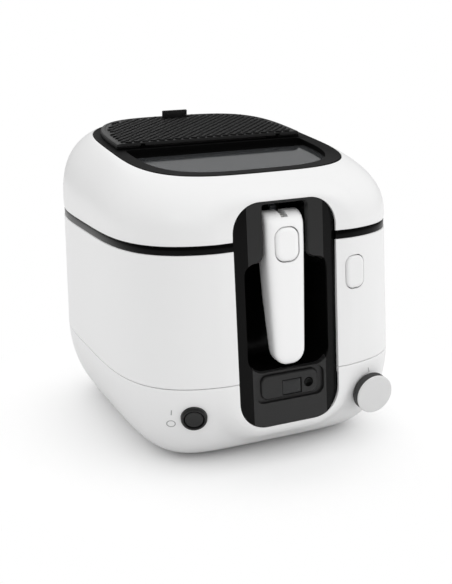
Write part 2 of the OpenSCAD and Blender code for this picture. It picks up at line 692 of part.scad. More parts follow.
// ---- Handle and lift gear ----
module handle_axle() color(steel) at_home() translate([0, pivot_y, pivot_z]) rod_x(axle_r, 2 * axle_half);
module lever_axle() color(steel) at_home() translate([0, lever_y, lever_z])
    rod_x(lever_axle_r, 2 * axle_half);
hub_r = 14;
grip_front = 3.2;
gear_slot = gear_w + 0.8;
button_z = 205.5;
grip_end = handle_low + handle_tip_w / 2;
grip_face = pivot_y - 17.5;
module grip_front_view() {
    polygon([[-handle_tip_w / 2, grip_end], [handle_tip_w / 2, grip_end], [handle_w / 2, pivot_z - hub_r],
             [handle_w / 2, pivot_z + hub_r + 1], [-handle_w / 2, pivot_z + hub_r + 1], [-handle_w / 2,
                 pivot_z - hub_r]]);
    translate([0, grip_end]) circle(handle_tip_w / 2);
}
module grip_side_view() {
    translate([pivot_y, pivot_z]) circle(hub_r);
    polygon([[face_y(0) - grip_front + 3.8, handle_low - 1], [face_y(0)
        - grip_front + handle_t, handle_low - 1],
             [pivot_y + 4, handle_low + 60], [pivot_y + hub_r - 3, pivot_z - 3], [pivot_y,
                 pivot_z + hub_r - 0.3],
             [pivot_y - 9, pivot_z + hub_r - 2], [pivot_y - 15, pivot_z + 8], [grip_face, pivot_z + 2]]);
}
gear_tip = gear_r + 0.9 * gear_module;
gear_room = 2;
button_back = pivot_y - gear_tip - grip_travel - 0.4;
module handle_grip() color(white) at_home() difference() {
    intersection() {
        translate([0, face_y(0) - 20, 0]) front_prism(0, 80) grip_front_view();
        side_prism(handle_w + 2) grip_side_view();
    }
    translate([0, pivot_y, pivot_z]) rod_x(axle_r + turn_fit, handle_w + 2);
    box([-gear_slot / 2, gear_slot / 2], [pivot_y - gear_tip - gear_room, pivot_y + hub_r + 1],
        [pivot_z - gear_tip - gear_room, pivot_z + hub_r + 2]);
    intersection() {
        grip_button_slot(slide_fit);
        box([-30, 30], [face_y(0) - 10, button_back + grip_travel + 0.4], [button_z - 30, button_z + 30]);
    }
}
module grip_button_slot(grow) {
    translate([0, face_y(0), 0]) front_prism(-10, 30) translate([0, button_z])
        rounded_rect(grip_button_w + 2 * grow, grip_button_h + 2 * grow, 9);
}
module grip_button() color(white) at_home() intersection() {
    grip_button_slot(0);
    box([-30, 30], [grip_face - 1.6, button_back], [button_z - 30, button_z + 30]);
}

// Spur gear outline with one tooth along +u; involute flanks from short straight pieces
function involute(rb, a) = rb * [cos(a) + a * PI / 180 * sin(a), sin(a) - a * PI / 180 * cos(a)];
module gear_outline(phase, teeth = [0:gear_teeth - 1]) {
    pressure = 20;
    base_r = gear_r * cos(pressure);
    root_r = gear_r - 1.2 * gear_module;
    backlash = 2.2;
    inv = tan(pressure) * 180 / PI - pressure;
    half = 90 / gear_teeth - backlash / 2 + inv;
    roll_max = sqrt(pow(gear_tip / base_r, 2) - 1) * 180 / PI;
    flank = concat([[root_r, 0]], [for (i = [0:4])
        let (p = involute(max(base_r, root_r), roll_max * i / 4)) [norm(p), atan2(p.y, p.x)]]);
    rotate(phase) union() {
        circle(root_r + 0.01);
        for (t = teeth) rotate(360 / gear_teeth * t)
            polygon(concat([[0, 0]],
                [for (f = flank) f[0] * [cos(f[1] - half), sin(f[1] - half)]],
                [for (i = [len(flank) - 1:-1:0])
                    flank[i][0] * [cos(half - flank[i][1]), sin(half - flank[i][1])]]));
    }
}
module hub_gear() color(white) at_home() translate([0, pivot_y, pivot_z]) difference() {
    side_prism(gear_w) gear_outline(gear_line);
    rod_x(axle_r + turn_fit, gear_w + 2);
}
lever_rest = -45;
lever_eye = lift_bar_r + 2;
lever_t = 5;
module lift_lever() color(steel) at_home() translate([0, lever_y, lever_z]) difference() {
    union() {
        side_prism(gear_w) gear_outline(gear_line + 180 + 180 / gear_teeth, [-4:0]);
        side_prism(lever_t) rotate(lever_rest) translate([0, -3]) square([lever_len, 6]);
        rotate([lever_rest, 0, 0]) translate([0, lever_len, 0]) rod_x(lever_eye, lever_t);
    }
    rod_x(lever_axle_r + turn_fit, gear_w + 2);
    rotate([lever_rest, 0, 0]) translate([0, lever_len, 0]) rod_x(lift_bar_r + turn_fit, gear_w + 2);
}
bar_y = lever_y + lever_len * cos(lever_rest);
bar_z = lever_z + lever_len * sin(lever_rest);
module lift_bar() color(steel) at_home() translate([0, bar_y, bar_z]) rod_x(lift_bar_r, 2 * lift_bar_half);

// ---- Basket ----
basket_w = bowl_w - 2 * basket_gap;
basket_d = bowl_d - 2 * basket_gap;
basket_r = bowl_r - basket_gap;
basket_z = bowl_floor + bowl_t + seat_gap + basket_foot_h;
basket_front = bowl_y - basket_d / 2;
rim_wire = 4;
module basket_mesh() color("#c4c6c8") at_home() bowl_at() translate([0, 0, basket_z]) difference() {
    slab(basket_w, basket_d, basket_r, basket_h - rim_wire);
    translate([0, 0, mesh_t]) slab(basket_w - 2 * mesh_t, basket_d - 2 * mesh_t, basket_r - mesh_t, basket_h);
}
module basket_rim() color(steel) at_home() bowl_at() translate([0, 0, basket_z + basket_h - rim_wire])
    difference() {
    slab(basket_w, basket_d, basket_r, rim_wire);
    translate([0, 0, -1])
        slab(basket_w - 2 * rim_wire, basket_d - 2 * rim_wire, basket_r - rim_wire, rim_wire + 2);
}
module basket_feet() color(steel) at_home() bowl_at() for (sx = [-1, 1], sy = [-1, 1])
    translate([sx * basket_w * 0.32, sy * basket_d * 0.32, basket_z - basket_foot_h])
        cylinder(r = 2.5, h = basket_foot_h);
strap_z = bar_z + lift_bar_r + lift_play;
strap_t = 3.4;
strap_x = 7.5;
strap_w = 4;
strap_front = bar_y - 7;
module basket_straps() color(steel) at_home() {
    for (s = [-1, 1]) {
        x = [s * strap_x - strap_w / 2, s * strap_x + strap_w / 2];
        box(x, [strap_front, basket_front], [strap_z, strap_z + strap_t]);
        box(x, [basket_front - 3, basket_front], [basket_z + basket_h - 12, strap_z + 1]);
    }
    box([-strap_x, strap_x], [basket_front - 3, basket_front], [strap_z, strap_z + strap_t]);
}

// ---- Lid ----
liner_y = bowl_y;
liner_w = bowl_w + 6;
liner_d = bowl_d + 6;
liner_r = bowl_r + 3;
liner_t = 1.5;
liner_low = rim_z + bowl_t + 1.6;
liner_top = rim_z + 42.9;
liner_flange = 22;
lid_steps = [0, 8, 16, 26, 36, 45, panel_at];
seal_w = 6;
post_share = 0.625;
liner_post_r = 4.5;
post_h = 22;
liner_posts = [-60, 90];
liner_post_x = half_w - (half_w - liner_w / 2 - seal_w) * post_share;
module four_liner_posts() {
    for (sx = [-1, 1], y = liner_posts) translate([sx * liner_post_x, y, 0]) children();
}
lid_lug_x = lug_inner + lug_w + 1;
module lid_shell() color(white) at_home() difference() {
    union() {
        wall_loft(concat(
            [for (t = lid_steps) lid_ring(t)],
            [lid_ring(panel_at, 0, ledge_drop), lid_ring(panel_at, ledge_w, ledge_drop),
             lid_ring(panel_at, ledge_w, ledge_drop + 2)],
            [for (i = [len(lid_steps) - 2:-1:0]) lid_ring(lid_steps[i], wall, wall * sin(lid_steps[i]))]));
        for (s = [-1, 1]) {
            lug(s * lid_lug_x - lug_w / 2, s * lid_lug_x + lug_w / 2);
            box([s * lid_lug_x - lug_w / 2, s * lid_lug_x + lug_w / 2],
                [half_d - 2.2, hinge_y], [hinge_z + lug_r - 6, hinge_z + lug_r]);
        }
        four_liner_posts() translate([0, 0, liner_low + liner_t]) cylinder(r = liner_post_r, h = post_h);
        for (sx = [-1, 1], y = liner_posts) mirror([sx < 0 ? 1 : 0, 0, 0])
            box([liner_post_x, half_w - wall - 2], [y - 2, y + 2], [liner_low + liner_t,
                liner_low + liner_t + post_h]);
    }
    on_face() front_prism(-20, 40) console_outline(seat_gap + 0.2);
    four_liner_posts() translate([0, 0, liner_low]) cylinder(r = screw_r + turn_fit, h = 14);
    for (s = [-1, 1]) translate([s * lid_lug_x, hinge_y, hinge_z]) rod_x(hinge_pin_r + turn_fit, lug_w + 2);
}
ledge_w = 3;
ledge_drop = panel_t / cos(panel_tilt);
hinge_pin_half = lug_inner + lug_w * 1.5 + 3;
module lid_hinge_pin() color(steel) at_home() translate([0, hinge_y, hinge_z])
    rod_x(hinge_pin_r, 2 * hinge_pin_half);
spring_coils = 7;
spring_wire = 1.6;
module lid_springs() color("#8c8f92") at_home() for (s = [0, 1]) mirror([s, 0, 0])
    translate([lug_inner - lug_w / 2 - 1 - spring_coils * spring_wire, hinge_y, hinge_z])
    rotate([0, 90, 0]) rotate_extrude() polygon(concat(
        [[hinge_pin_r + turn_fit, 0]],
        [for (i = [0:spring_coils - 1])
            each [[hinge_pin_r + 1, i * spring_wire], [hinge_pin_r + 2, (i + 0.5) * spring_wire]]],
        [[hinge_pin_r + 1, spring_coils * spring_wire], [hinge_pin_r + turn_fit,
            spring_coils * spring_wire]]));

module panel_outline(inset, side = 0) {
    polygon([for (phi = ring_angles)
        let (r = polar_r(phi, panel_a - inset - side, panel_b - inset, panel_n)) r * [cos(phi), sin(phi)]]);
}
module window_outline(inset) {
    intersection() {
        panel_outline(window_margin + inset);
        translate([0, -100 - window_rear - inset]) square([400, 200], center = true);
    }
}
module bay_outline(inset) {
    intersection() {
        panel_outline(window_margin + inset);
        translate([0, 100 + window_rear + inset]) square([400, 200], center = true);
    }
}
window_rear = 6;
pane_low = -recess_depth - pane_t;
bay_mid = 54;
foam_t = 5;
charcoal_t = 6;
module top_panel() color(black) at_home() on_top() difference() {
    union() {
        translate([0, 0, -panel_t]) linear_extrude(panel_t) panel_outline(seat_gap);
        translate([0, 0, pane_low - 2]) linear_extrude(-pane_low) window_outline(-2);
        translate([0, 0, -bay_depth - 2]) linear_extrude(bay_depth) bay_outline(-2);
        for (s = [-1, 1]) hatch_ear(s);
    }
    translate([0, 0, pane_low]) linear_extrude(20) window_outline(0);
    translate([0, 0, pane_low - 3]) linear_extrude(20) window_outline(6);
    translate([0, 0, -bay_depth]) linear_extrude(40) bay_outline(0);
    for (i = [-4:4]) translate([i * 14, bay_mid, -bay_depth - 3]) linear_extrude(10)
        square([6, 60], center = true);
}
module window_pane() color("#606468", 0.5) at_home() on_top()
    translate([0, 0, pane_low]) linear_extrude(pane_t) window_outline(0.1);
module foam_filter() color("#3c3c3c") at_home() on_top()
    translate([0, 0, -bay_depth + charcoal_t]) linear_extrude(foam_t) bay_outline(0.4);
module charcoal_filter() color("#1a1a1a") at_home() on_top()
    translate([0, 0, -bay_depth]) linear_extrude(charcoal_t) bay_outline(0.4);
// Hatch hinge: round pins on the panel's ears, in bosses behind the hatch's front wall
hatch_pin_r = 1.2;
hatch_axis_y = 2.6;
hatch_axis_z = 2.9;
hatch_front_gap = 1.8;
hatch_skin = 1;
hatch_rim = 3;
hatch_in = 3.5;
hatch_boss = [62, 71];
hatch_ear_x = [71.5, 75];
module hatch_rod(r, s, x) {
    translate([s * (x[0] + x[1]) / 2, hatch_axis_y, hatch_axis_z]) rod_x(r, x[1] - x[0]);
}
module hatch_ear(s) {
    hatch_rod(hatch_pin_r, s, [hatch_boss[0] + 1, hatch_ear_x[1]]);
    translate([s * (hatch_ear_x[0] + hatch_ear_x[1]) / 2, hatch_axis_y, hatch_axis_z / 2 - 0.5])
        cube([hatch_ear_x[1] - hatch_ear_x[0], 2 * hatch_pin_r - 0.4, hatch_axis_z + 1], center = true);
}
module hatch_outline(inset) {
    intersection() {
        panel_outline(hatch_in + inset, hatch_side - hatch_in);
        translate([0, far / 2 + min(inset, 1.2)]) square([2 * far, far], center = true);
    }
}
// Past every edge of the lid, for cuts that run right across it
far = 200;
vent_pitch = [13, 9];
vent_slot = [8, 1.6];
vent_from = 14;
module filter_hatch() color(black) at_home() on_top() {
    difference() {
        union() {
            difference() {
                translate([0, 0, seat_gap]) linear_extrude(hatch_t) hatch_outline(0);
                translate([0, 0, -1]) linear_extrude(hatch_t + seat_gap + 1 - hatch_skin)
                    hatch_outline(hatch_rim);
                translate([-far, -1, 0]) cube([2 * far, 4, hatch_front_gap]);
                for (s = [-1, 1]) translate([s * (hatch_ear_x[0] + hatch_ear_x[1]) / 2, 1, 0])
                    cube([hatch_ear_x[1] - hatch_ear_x[0] + 1.4, 4,
                        2 * (hatch_t + seat_gap - hatch_skin)], center = true);
            }
            for (s = [-1, 1]) hatch_rod(2.2, s, hatch_boss);
        }
        for (s = [-1, 1]) hatch_rod(hatch_pin_r + turn_fit, s, [hatch_boss[0] - 1, hatch_boss[1] + 1]);
        for (i = [-6:6], j = [0:9])
            translate([(i + (j % 2) / 2) * vent_pitch[0], vent_from + j * vent_pitch[1], 0])
                linear_extrude(20) square(vent_slot, center = true);
    }
    translate([0, panel_b - hatch_in - 15, seat_gap + hatch_t - 1.2])
        box([-tab_w / 2, tab_w / 2], [0, 3], [0, tab_h + 1.2]);
}
module lid_liner() color("#9a9da0") at_home() difference() {
    translate([0, liner_y, 0]) difference() {
        union() {
            translate([0, 0, liner_low]) slab(liner_w, liner_d, liner_r, liner_top + liner_t - liner_low);
            translate([0, 0, liner_low])
                slab(liner_w + 2 * liner_flange, liner_d + 2 * liner_flange, liner_r + liner_flange, liner_t);
        }
        translate([0, 0, liner_low - 1])
            slab(liner_w - 2 * liner_t, liner_d - 2 * liner_t, liner_r - liner_t, liner_top - liner_low + 1);
        translate([0, -54, liner_top - 1]) slab(150, 80, 20, 6);
        for (i = [-3:3]) translate([i * 20, 50, liner_top - 1]) slab(8, 60, 3.9, 6);
    }
    box([-well_half - 0.5, well_half + 0.5], [-half_d, basket_front - 4], [liner_low - 1, liner_top]);
    on_face() front_prism(-20, horn_depth + 1) console_outline(1);
    box([release_x - 9, release_x + 9], [-half_d, latch_y + latch_t + release_travel + 1],
        [liner_low - 1, liner_top]);
    four_liner_posts() translate([0, 0, liner_low - 1]) cylinder(r = screw_r + turn_fit, h = 10);
}
module lid_seal() color("#7a7c7e") at_home() difference() {
    translate([0, liner_y, liner_low - 1.3]) difference() {
        slab(liner_w + 2 * seal_w, liner_d + 2 * seal_w, liner_r + seal_w, 1.3);
        translate([0, 0, -1]) slab(liner_w, liner_d, liner_r, 4);
    }
    box([-well_half - 0.5, well_half + 0.5], [-half_d, basket_front - 4], [liner_low - 3, liner_top]);
}
module liner_screws() color(steel) at_home() four_liner_posts() {
    translate([0, 0, liner_low]) cylinder(r = screw_r, h = 12);
    translate([0, 0, liner_low - 1.2]) cylinder(r = 2 * screw_r, h = 1.2);
}
// Latch: heights are measured from the middle of the release button
striker_low = rim_z + 9 - release_z;
striker_t = 3;
striker_seat = wall + 3.1;
hook_low = striker_low + striker_t + 1;
hook_reach = 2.5;
latch_free = 0.5;
latch_from = 9;
release_proud = 1.6;
module lid_striker() color(steel) at_home() on_wall_yaw()
    box([-6, 6], [striker_seat, latch_in - hook_reach - latch_free], [striker_low, striker_low + striker_t]);

// ---- Controls ----
cap_t = 3;
shaft_from = -4.6;
module knob_cap() color(white) at_home() at_knob() rod_y(knob_r, -knob_h, cap_t - knob_h);
module knob_skirt() color("#4a4a4a") at_home() at_knob() difference() {
    rod_y(knob_r - 0.4, cap_t - knob_h, -0.6);
    rod_y(knob_shaft_r, shaft_from, 1);
}
module knob_shaft() color(steel) at_home() at_knob()
    rod_y(knob_shaft_r, shaft_from, control_in + shaft_depth);
module release_button() color(white) at_home() on_wall(release_x, release_z)
    front_prism(-release_proud, latch_from) rounded_rect(release_w, release_h, release_round - slide_fit);
module latch_hook() color("#3a3a3a") at_home() on_wall_yaw() {
    box([-latch_w / 2, latch_w / 2], [latch_from + 0.2, latch_in + latch_t], [-6, 6]);
    box([-latch_w / 2, latch_w / 2], [latch_in, latch_in + latch_t], [-6, hook_low + 3]);
    box([-latch_w / 2, latch_w / 2], [latch_in - hook_reach, latch_in + latch_t], [hook_low, hook_low + 3]);
}
module on_wall_yaw() {
    translate([release_x, wall_y(release_x, release_z), release_z])
        rotate([0, 0, wall_yaw(release_x, release_z)]) children();
}

base_tray();
bottom_cover();
cover_screws();
rubber_feet();
body_shell();
rim_band();
oil_bowl();
heating_element();
heat_shield();
shield_nuts();
sensor_bulb();
thermal_fuse();
thermostat();
power_ring();
power_switch();
terminal_block();
cord_inlet();
console();
console_screws();
timer_plate();
timer_display();
timer_board();
timer_battery();
handle_axle();
lever_axle();
lid_hinge_pin();
lid_springs();
lid_shell();
top_panel();
window_pane();
lid_liner();
lid_seal();
liner_screws();
foam_filter();
charcoal_filter();
lid_striker();
filter_hatch();
handle_grip();
hub_gear();
grip_button();
lift_lever();
lift_bar();
basket_mesh();
basket_rim();
basket_straps();
basket_feet();
knob_cap();
knob_skirt();
knob_shaft();
power_button();
release_button();
latch_hook();
timer_button();
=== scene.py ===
import math

import bmesh
import bpy
from mathutils import Matrix, Vector


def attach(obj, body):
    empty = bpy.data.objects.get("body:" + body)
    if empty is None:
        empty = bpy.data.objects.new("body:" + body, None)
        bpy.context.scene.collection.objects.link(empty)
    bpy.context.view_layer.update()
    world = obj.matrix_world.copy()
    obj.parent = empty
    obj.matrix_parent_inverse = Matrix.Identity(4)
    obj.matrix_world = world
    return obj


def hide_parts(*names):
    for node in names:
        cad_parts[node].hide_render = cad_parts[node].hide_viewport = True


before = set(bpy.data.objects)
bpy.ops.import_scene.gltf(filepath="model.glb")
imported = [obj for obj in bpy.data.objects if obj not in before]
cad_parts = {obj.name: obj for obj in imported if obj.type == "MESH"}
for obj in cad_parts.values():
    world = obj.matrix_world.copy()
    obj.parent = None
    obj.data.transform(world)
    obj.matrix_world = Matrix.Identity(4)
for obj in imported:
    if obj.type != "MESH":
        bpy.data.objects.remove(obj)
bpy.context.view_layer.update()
print("frame loaded")

mm = 0.001
shiftY = 2.36970  # the casing's own centre stands this far behind the frame's origin, in mm


# operators and small helpers
def deselectAll():
    if bpy.context.object and bpy.context.object.mode != "OBJECT":
        bpy.ops.object.mode_set(mode="OBJECT")
    bpy.ops.object.select_all(action="DESELECT")


def makeActive(piece):
    deselectAll()
    piece.select_set(True)
    bpy.context.view_layer.objects.active = piece


def applyModifier(piece, kind, **settings):
    makeActive(piece)
    modifier = piece.modifiers.new(kind.title(), kind)
    for key, value in settings.items():
        setattr(modifier, key, value)
    bpy.ops.object.modifier_apply(modifier=modifier.name)
    return piece


def joinAll(first, *others):
    makeActive(first)
    for other in others:
        other.select_set(True)
    bpy.ops.object.join()
    return first


def tidyMesh(piece, flip=True, merge=0.002):
    # doubles are merged before the normals are made to point outwards
    makeActive(piece)
    bpy.ops.object.mode_set(mode="EDIT")
    bpy.ops.mesh.select_all(action="SELECT")
    bpy.ops.mesh.remove_doubles(threshold=merge * mm)
    bpy.ops.mesh.dissolve_degenerate(threshold=merge * mm * 0.5)
    if flip:
        bpy.ops.mesh.normals_make_consistent(inside=False)
    bpy.ops.object.mode_set(mode="OBJECT")
    return piece


def smoothShade(piece, angle=35):
    makeActive(piece)
    bpy.ops.object.shade_smooth_by_angle(angle=math.radians(angle))
    return piece


def inMm(point):
    return Vector((point.x / mm, point.y / mm + shiftY, point.z / mm))


def put(vertex, point, place=None):
    # from the casing's millimetres to the frame's metres
    point = place @ Vector(point) if place else Vector(point)
    vertex.co = (point.x * mm, (point.y - shiftY) * mm, point.z * mm)


def gridSkin(name, rows, place=None):
    # a grid primitive whose rows of vertices are moved onto the given closed outlines
    columns, bands = len(rows[0]), len(rows) - 1
    deselectAll()
    bpy.ops.mesh.primitive_grid_add(x_subdivisions=columns, y_subdivisions=bands, size=1)
    piece = bpy.context.object
    piece.name = name
    for vertex in piece.data.vertices:
        i = round((vertex.co.x + 0.5) * columns)
        j = round((vertex.co.y + 0.5) * bands)
        put(vertex, rows[j][i % columns], place)
    return tidyMesh(piece)


def combine(piece, operation, others):
    for other in others:
        applyModifier(piece, "BOOLEAN", operation=operation, solver="EXACT", object=other)
        bpy.data.objects.remove(other)
    return piece


def cutBy(piece, *cutters):
    return combine(piece, "DIFFERENCE", cutters)


def addTo(piece, *others):
    return combine(piece, "UNION", others)


def softEdges(piece, width, segments=2, angle=40):
    tidyMesh(piece, flip=False)
    applyModifier(piece, "BEVEL", width=width * mm, segments=segments, limit_method="ANGLE",
                  angle_limit=math.radians(angle), use_clamp_overlap=True, miter_outer="MITER_ARC")
    return smoothShade(piece, 40)


def flatFaces(piece, sharpAt=None):
    # large faces keep their own direction beside rounded edges, and the edges picked by sharpAt stay crisp
    for line in piece.data.edges:
        if sharpAt and all(sharpAt(piece.data.vertices[i].co) for i in line.vertices):
            line.use_edge_sharp = True
    return applyModifier(piece, "WEIGHTED_NORMAL", keep_sharp=True)


def coverWith(piece, material):
    piece.data.materials.clear()
    piece.data.materials.append(material)


def finishPiece(piece, material, body, slot, *nodes):
    coverWith(piece, material)
    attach(piece, body)
    if nodes:
        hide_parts(*nodes)
    return piece


# places on the casing, as in the part: millimetres, with the casing's centre at y = 0
casing = dict(halfW=138.0, halfD=164.4, squareness=3.84, rimZ=211.7, bandLow=203.9, seamZ=84.3,
              seamGap=0.7, seamGrow=3.3, wall=2.5, baseInset=47.8, baseRound=1.86, baseSquareness=6.5,
              baseBack=8.6, footH=3.0)
c = casing
lid = dict(rise=79.9, slope=0.143, roundness=2.77, runX=99.0, runY=132.0, squareness=2.94, panelAt=52.5,
           gap=0.3)
face = dict(lean=0.0426, proud=5.7, width=100.0, low=40.0, top=244.4, radius=26.0, flareW=24.0,
            flareTop=14.0)


faceMid, faceHigh = (face["top"] + face["low"]) / 2, face["top"] - face["low"]


def faceY(z):
    return -casing["halfD"] - face["proud"] + face["lean"] * z


def polarR(phi, a, b, n):
    return (abs(math.cos(phi) / a) ** n + abs(math.sin(phi) / b) ** n) ** (-1 / n)


def outside(dx, dz, r):
    return math.hypot(max(dx + r, 0), max(dz + r, 0)) + min(max(dx, dz) + r, 0) - r


def flare(x, z):
    # 1 on the console's outline, easing to 0 over the width of the flare
    if z > face["top"] - face["radius"]:
        dz = (z - face["top"]) * face["flareW"] / face["flareTop"]
    else:
        dz = abs(z - faceMid) - faceHigh / 2
    u = min(max(outside(abs(x) - face["width"] / 2, dz, face["radius"]) / face["flareW"], 0), 1)
    return 1 - u * u * (3 - 2 * u)


# directions of a ring's points, closer together across the front
angles = [math.radians(a) for a in
          [*range(0, 225, 2), *(225 + 0.75 * i for i in range(120)), *range(315, 360, 2)]]


def ring(a, b, n, z, backY=0.0, slope=0.0, inset=0.0):
    points = []
    for phi in angles:
        r = polarR(phi, a - inset, b - inset, n)
        x, y = r * math.cos(phi), r * math.sin(phi)
        py, pz = y + backY, z + slope * y
        if py < 0:
            py += (faceY(pz) + inset - py) * flare(x, pz)
        points.append((x, py, pz))
    return points


def bodySize(z):
    # half width, half depth, squareness and backward shift of the upper wall at the height z
    grow = c["seamGrow"] * (c["bandLow"] - z) / (c["bandLow"] - c["seamZ"])
    return c["halfW"] + grow, c["halfD"] + grow, c["squareness"], 0.0


def baseSize(t):
    # the same for the lower wall, where t runs from 0 at the seam to a quarter turn at the floor
    k = 1 - max(math.cos(t), 0) ** (2 / c["baseRound"])
    off = c["baseInset"] * k - c["seamGrow"]
    n = c["squareness"] + (c["baseSquareness"] - c["squareness"]) * k
    return c["halfW"] - off, c["halfD"] - off, n, c["baseBack"] * k


def baseTurn(z):
    return math.asin(((c["seamZ"] - z) / (c["seamZ"] - c["footH"])) ** (c["baseRound"] / 2))


def bodyRing(z, inset=0.0):
    return ring(*bodySize(z)[:3], z, inset=inset)


def baseRing(t, inset=0.0, z=None):
    a, b, n, backY = baseSize(t)
    height = c["seamZ"] - (c["seamZ"] - c["footH"]) * math.sin(t) ** (2 / c["baseRound"])
    return ring(a, b, n, height if z is None else z, backY, 0, inset)


def lidRing(t, inset=0.0, drop=0.0):
    k = 1 - math.cos(t) ** (2 / lid["roundness"])
    s = math.sin(t) ** (2 / lid["roundness"])
    return ring(c["halfW"] - lid["runX"] * k, c["halfD"] - lid["runY"] * k,
                c["squareness"] + (lid["squareness"] - c["squareness"]) * k,
                c["rimZ"] + lid["gap"] + (lid["rise"] - lid["gap"]) * s - drop, 0, lid["slope"] * s, inset)


panelAt = math.radians(lid["panelAt"])
panelK = 1 - math.cos(panelAt) ** (2 / lid["roundness"])
panelS = math.sin(panelAt) ** (2 / lid["roundness"])
panel = dict(z=casing["rimZ"] + lid["gap"] + (lid["rise"] - lid["gap"]) * panelS,
             tilt=math.atan(lid["slope"] * panelS), a=casing["halfW"] - lid["runX"] * panelK,
             n=casing["squareness"] + (lid["squareness"] - casing["squareness"]) * panelK)
panel["b"] = (casing["halfD"] - lid["runY"] * panelK) / math.cos(panel["tilt"])


def wallY(x, z):
    a, b, n, backY = bodySize(z) if z >= c["seamZ"] else baseSize(baseTurn(z))
    return backY - b * (1 - (abs(x) / a) ** n) ** (1 / n)


def onWall(x, z):
    yaw = math.atan(wallY(x + 0.5, z) - wallY(x - 0.5, z))
    pitch = math.atan((wallY(x, z + 0.5) - wallY(x, z - 0.5)) * math.cos(yaw))
    return Matrix.Translation((x, wallY(x, z), z)) @ Matrix.Rotation(yaw, 4, "Z") @ Matrix.Rotation(-pitch, 4,
                                                                                                    "X")


onFace = Matrix.Translation((0, faceY(0), 0)) @ Matrix.Rotation(-math.atan(face["lean"]), 4, "X")
onTop = Matrix.Translation((0, 0, panel["z"])) @ Matrix.Rotation(panel["tilt"], 4, "X")


# outlines and pads
def aroundCircle(radius, count):
    turns = [2 * math.pi * i / count for i in range(count)]
    return [(radius * math.cos(turn), radius * math.sin(turn)) for turn in turns]


def circleOutline(radius, count=64):
    return lambda inset: aroundCircle(max(radius - inset, 0.01), count)


def roundedOutline(width, height, radius, steps=10):
    def outline(inset):
        w, h = width / 2 - inset, height / 2 - inset
        r = max(radius - inset, 0.3)
        points = []
        for cx, cz, start in ((w - r, h - r, 0), (r - w, h - r, 90), (r - w, r - h, 180),
                              (w - r, r - h, 270)):
            for i in range(steps + 1):
                a = math.radians(start + 90 * i / steps)
                points.append((cx + r * math.cos(a), cz + r * math.sin(a)))
        return points
    return outline


def shifted(outline, dx, dz):
    return lambda inset: [(x + dx, z + dz) for x, z in outline(inset)]


def faceOutline(grow):
    # the console's outline on the plane of its face
    return shifted(roundedOutline(face["width"] + grow, faceHigh + grow, face["radius"] + grow / 2, 16), 0,
                   faceMid)


def closeEnds(rows):
    # both open ends of a skin close on their middle point
    ends = [[tuple(sum(p[k] for p in row) / len(row) for k in range(3))] * len(row)
            for row in (rows[0], rows[-1])]
    return [ends[0]] + rows + [ends[1]]


def pad(name, outline, profile, place=None, front=0.0, axis="y"):
    # closed plate: the profile lists inset and depth behind the front, and both ends close on the middle
    point = (lambda x, z, d: (x, front + d, z)) if axis == "y" else (lambda x, z, d: (x, z, front - d))
    return gridSkin(name, closeEnds([[point(x, z, depth) for x, z in outline(inset)] for inset,
                                     depth in profile]), place)


def prism(name, outline, depthFrom, depthTo, place=None, axis="y"):
    return pad(name, outline, [(0, 0), (0, depthTo - depthFrom)], place,
               depthFrom if axis == "y" else -depthFrom, axis)


def block(name, x, y, z, place=None):
    # a cube primitive at its size and place
    deselectAll()
    bpy.ops.mesh.primitive_cube_add(size=1)
    piece = bpy.context.object
    piece.name = name
    for vertex in piece.data.vertices:
        put(vertex, [ends[side > 0] for ends, side in zip((x, y, z), vertex.co)], place)
    return piece


def rodX(name, radius, x0, x1, y, z, edge=0.0, count=48):
    turn = Matrix.Translation((x0, y, z)) @ Matrix.Rotation(math.radians(-90), 4, "Z")
    profile = [(edge, 0), (edge * 0.3, edge * 0.3), (0, edge), (0, x1 - x0 - edge),
               (edge * 0.3, x1 - x0 - edge * 0.3), (edge, x1 - x0)] if edge else [(0, 0), (0, x1 - x0)]
    return pad(name, circleOutline(radius, count), profile, turn)


# materials
def hexColor(code):
    channels = [int(code[i:i + 2], 16) / 255 for i in (1, 3, 5)]
    return [v / 12.92 if v <= 0.04045 else ((v + 0.055) / 1.055) ** 2.4 for v in channels] + [1.0]


def feed(tree, node, inputs):
    # an input takes a number or colour, or the output of another node
    for key, value in inputs.items():
        if isinstance(value, bpy.types.NodeSocket):
            tree.links.new(value, node.inputs[key])
        else:
            node.inputs[key].default_value = hexColor(value) if isinstance(value, str) else value
    return node


def addNode(tree, kind, inputs=None, **settings):
    node = tree.nodes.new("ShaderNode" + kind)
    for key, value in settings.items():
        setattr(node, key, value)
    return feed(tree, node, inputs or {})


def maths(tree, operation, *values):
    return addNode(tree, "Math", dict(enumerate(values)), operation=operation).outputs[0]


def mixed(tree, factor, first, second):
    return addNode(tree, "MixRGB", {"Fac": factor, "Color1": first, "Color2": second}).outputs["Color"]


def spread(tree, value, low, high, start=0.0, end=1.0, **settings):
    ends = {"Value": value, "From Min": start, "From Max": end, "To Min": low, "To Max": high}
    return addNode(tree, "MapRange", ends, **settings).outputs["Result"]


def noise(tree, coords, sizeMm, detail=3.0):
    return addNode(tree, "TexNoise", {"Vector": coords, "Scale": 1000 / sizeMm,
                                      "Detail": detail}).outputs["Fac"]


def bump(tree, height, strength, depthMm):
    ends = {"Height": height, "Strength": strength, "Distance": depthMm * mm}
    return addNode(tree, "Bump", ends).outputs["Normal"]


def startMaterial(name, color, roughness, ior=1.5, **sockets):
    material = bpy.data.materials.new(name)
    material.use_nodes = True
    tree = material.node_tree
    shader = feed(tree, tree.nodes["Principled BSDF"],
                  {"Base Color": color, "Roughness": roughness, "IOR": ior})
    feed(tree, shader, {key.replace("_", " "): value for key, value in sockets.items()})
    return material, tree, shader, addNode(tree, "TexCoord").outputs["Object"]


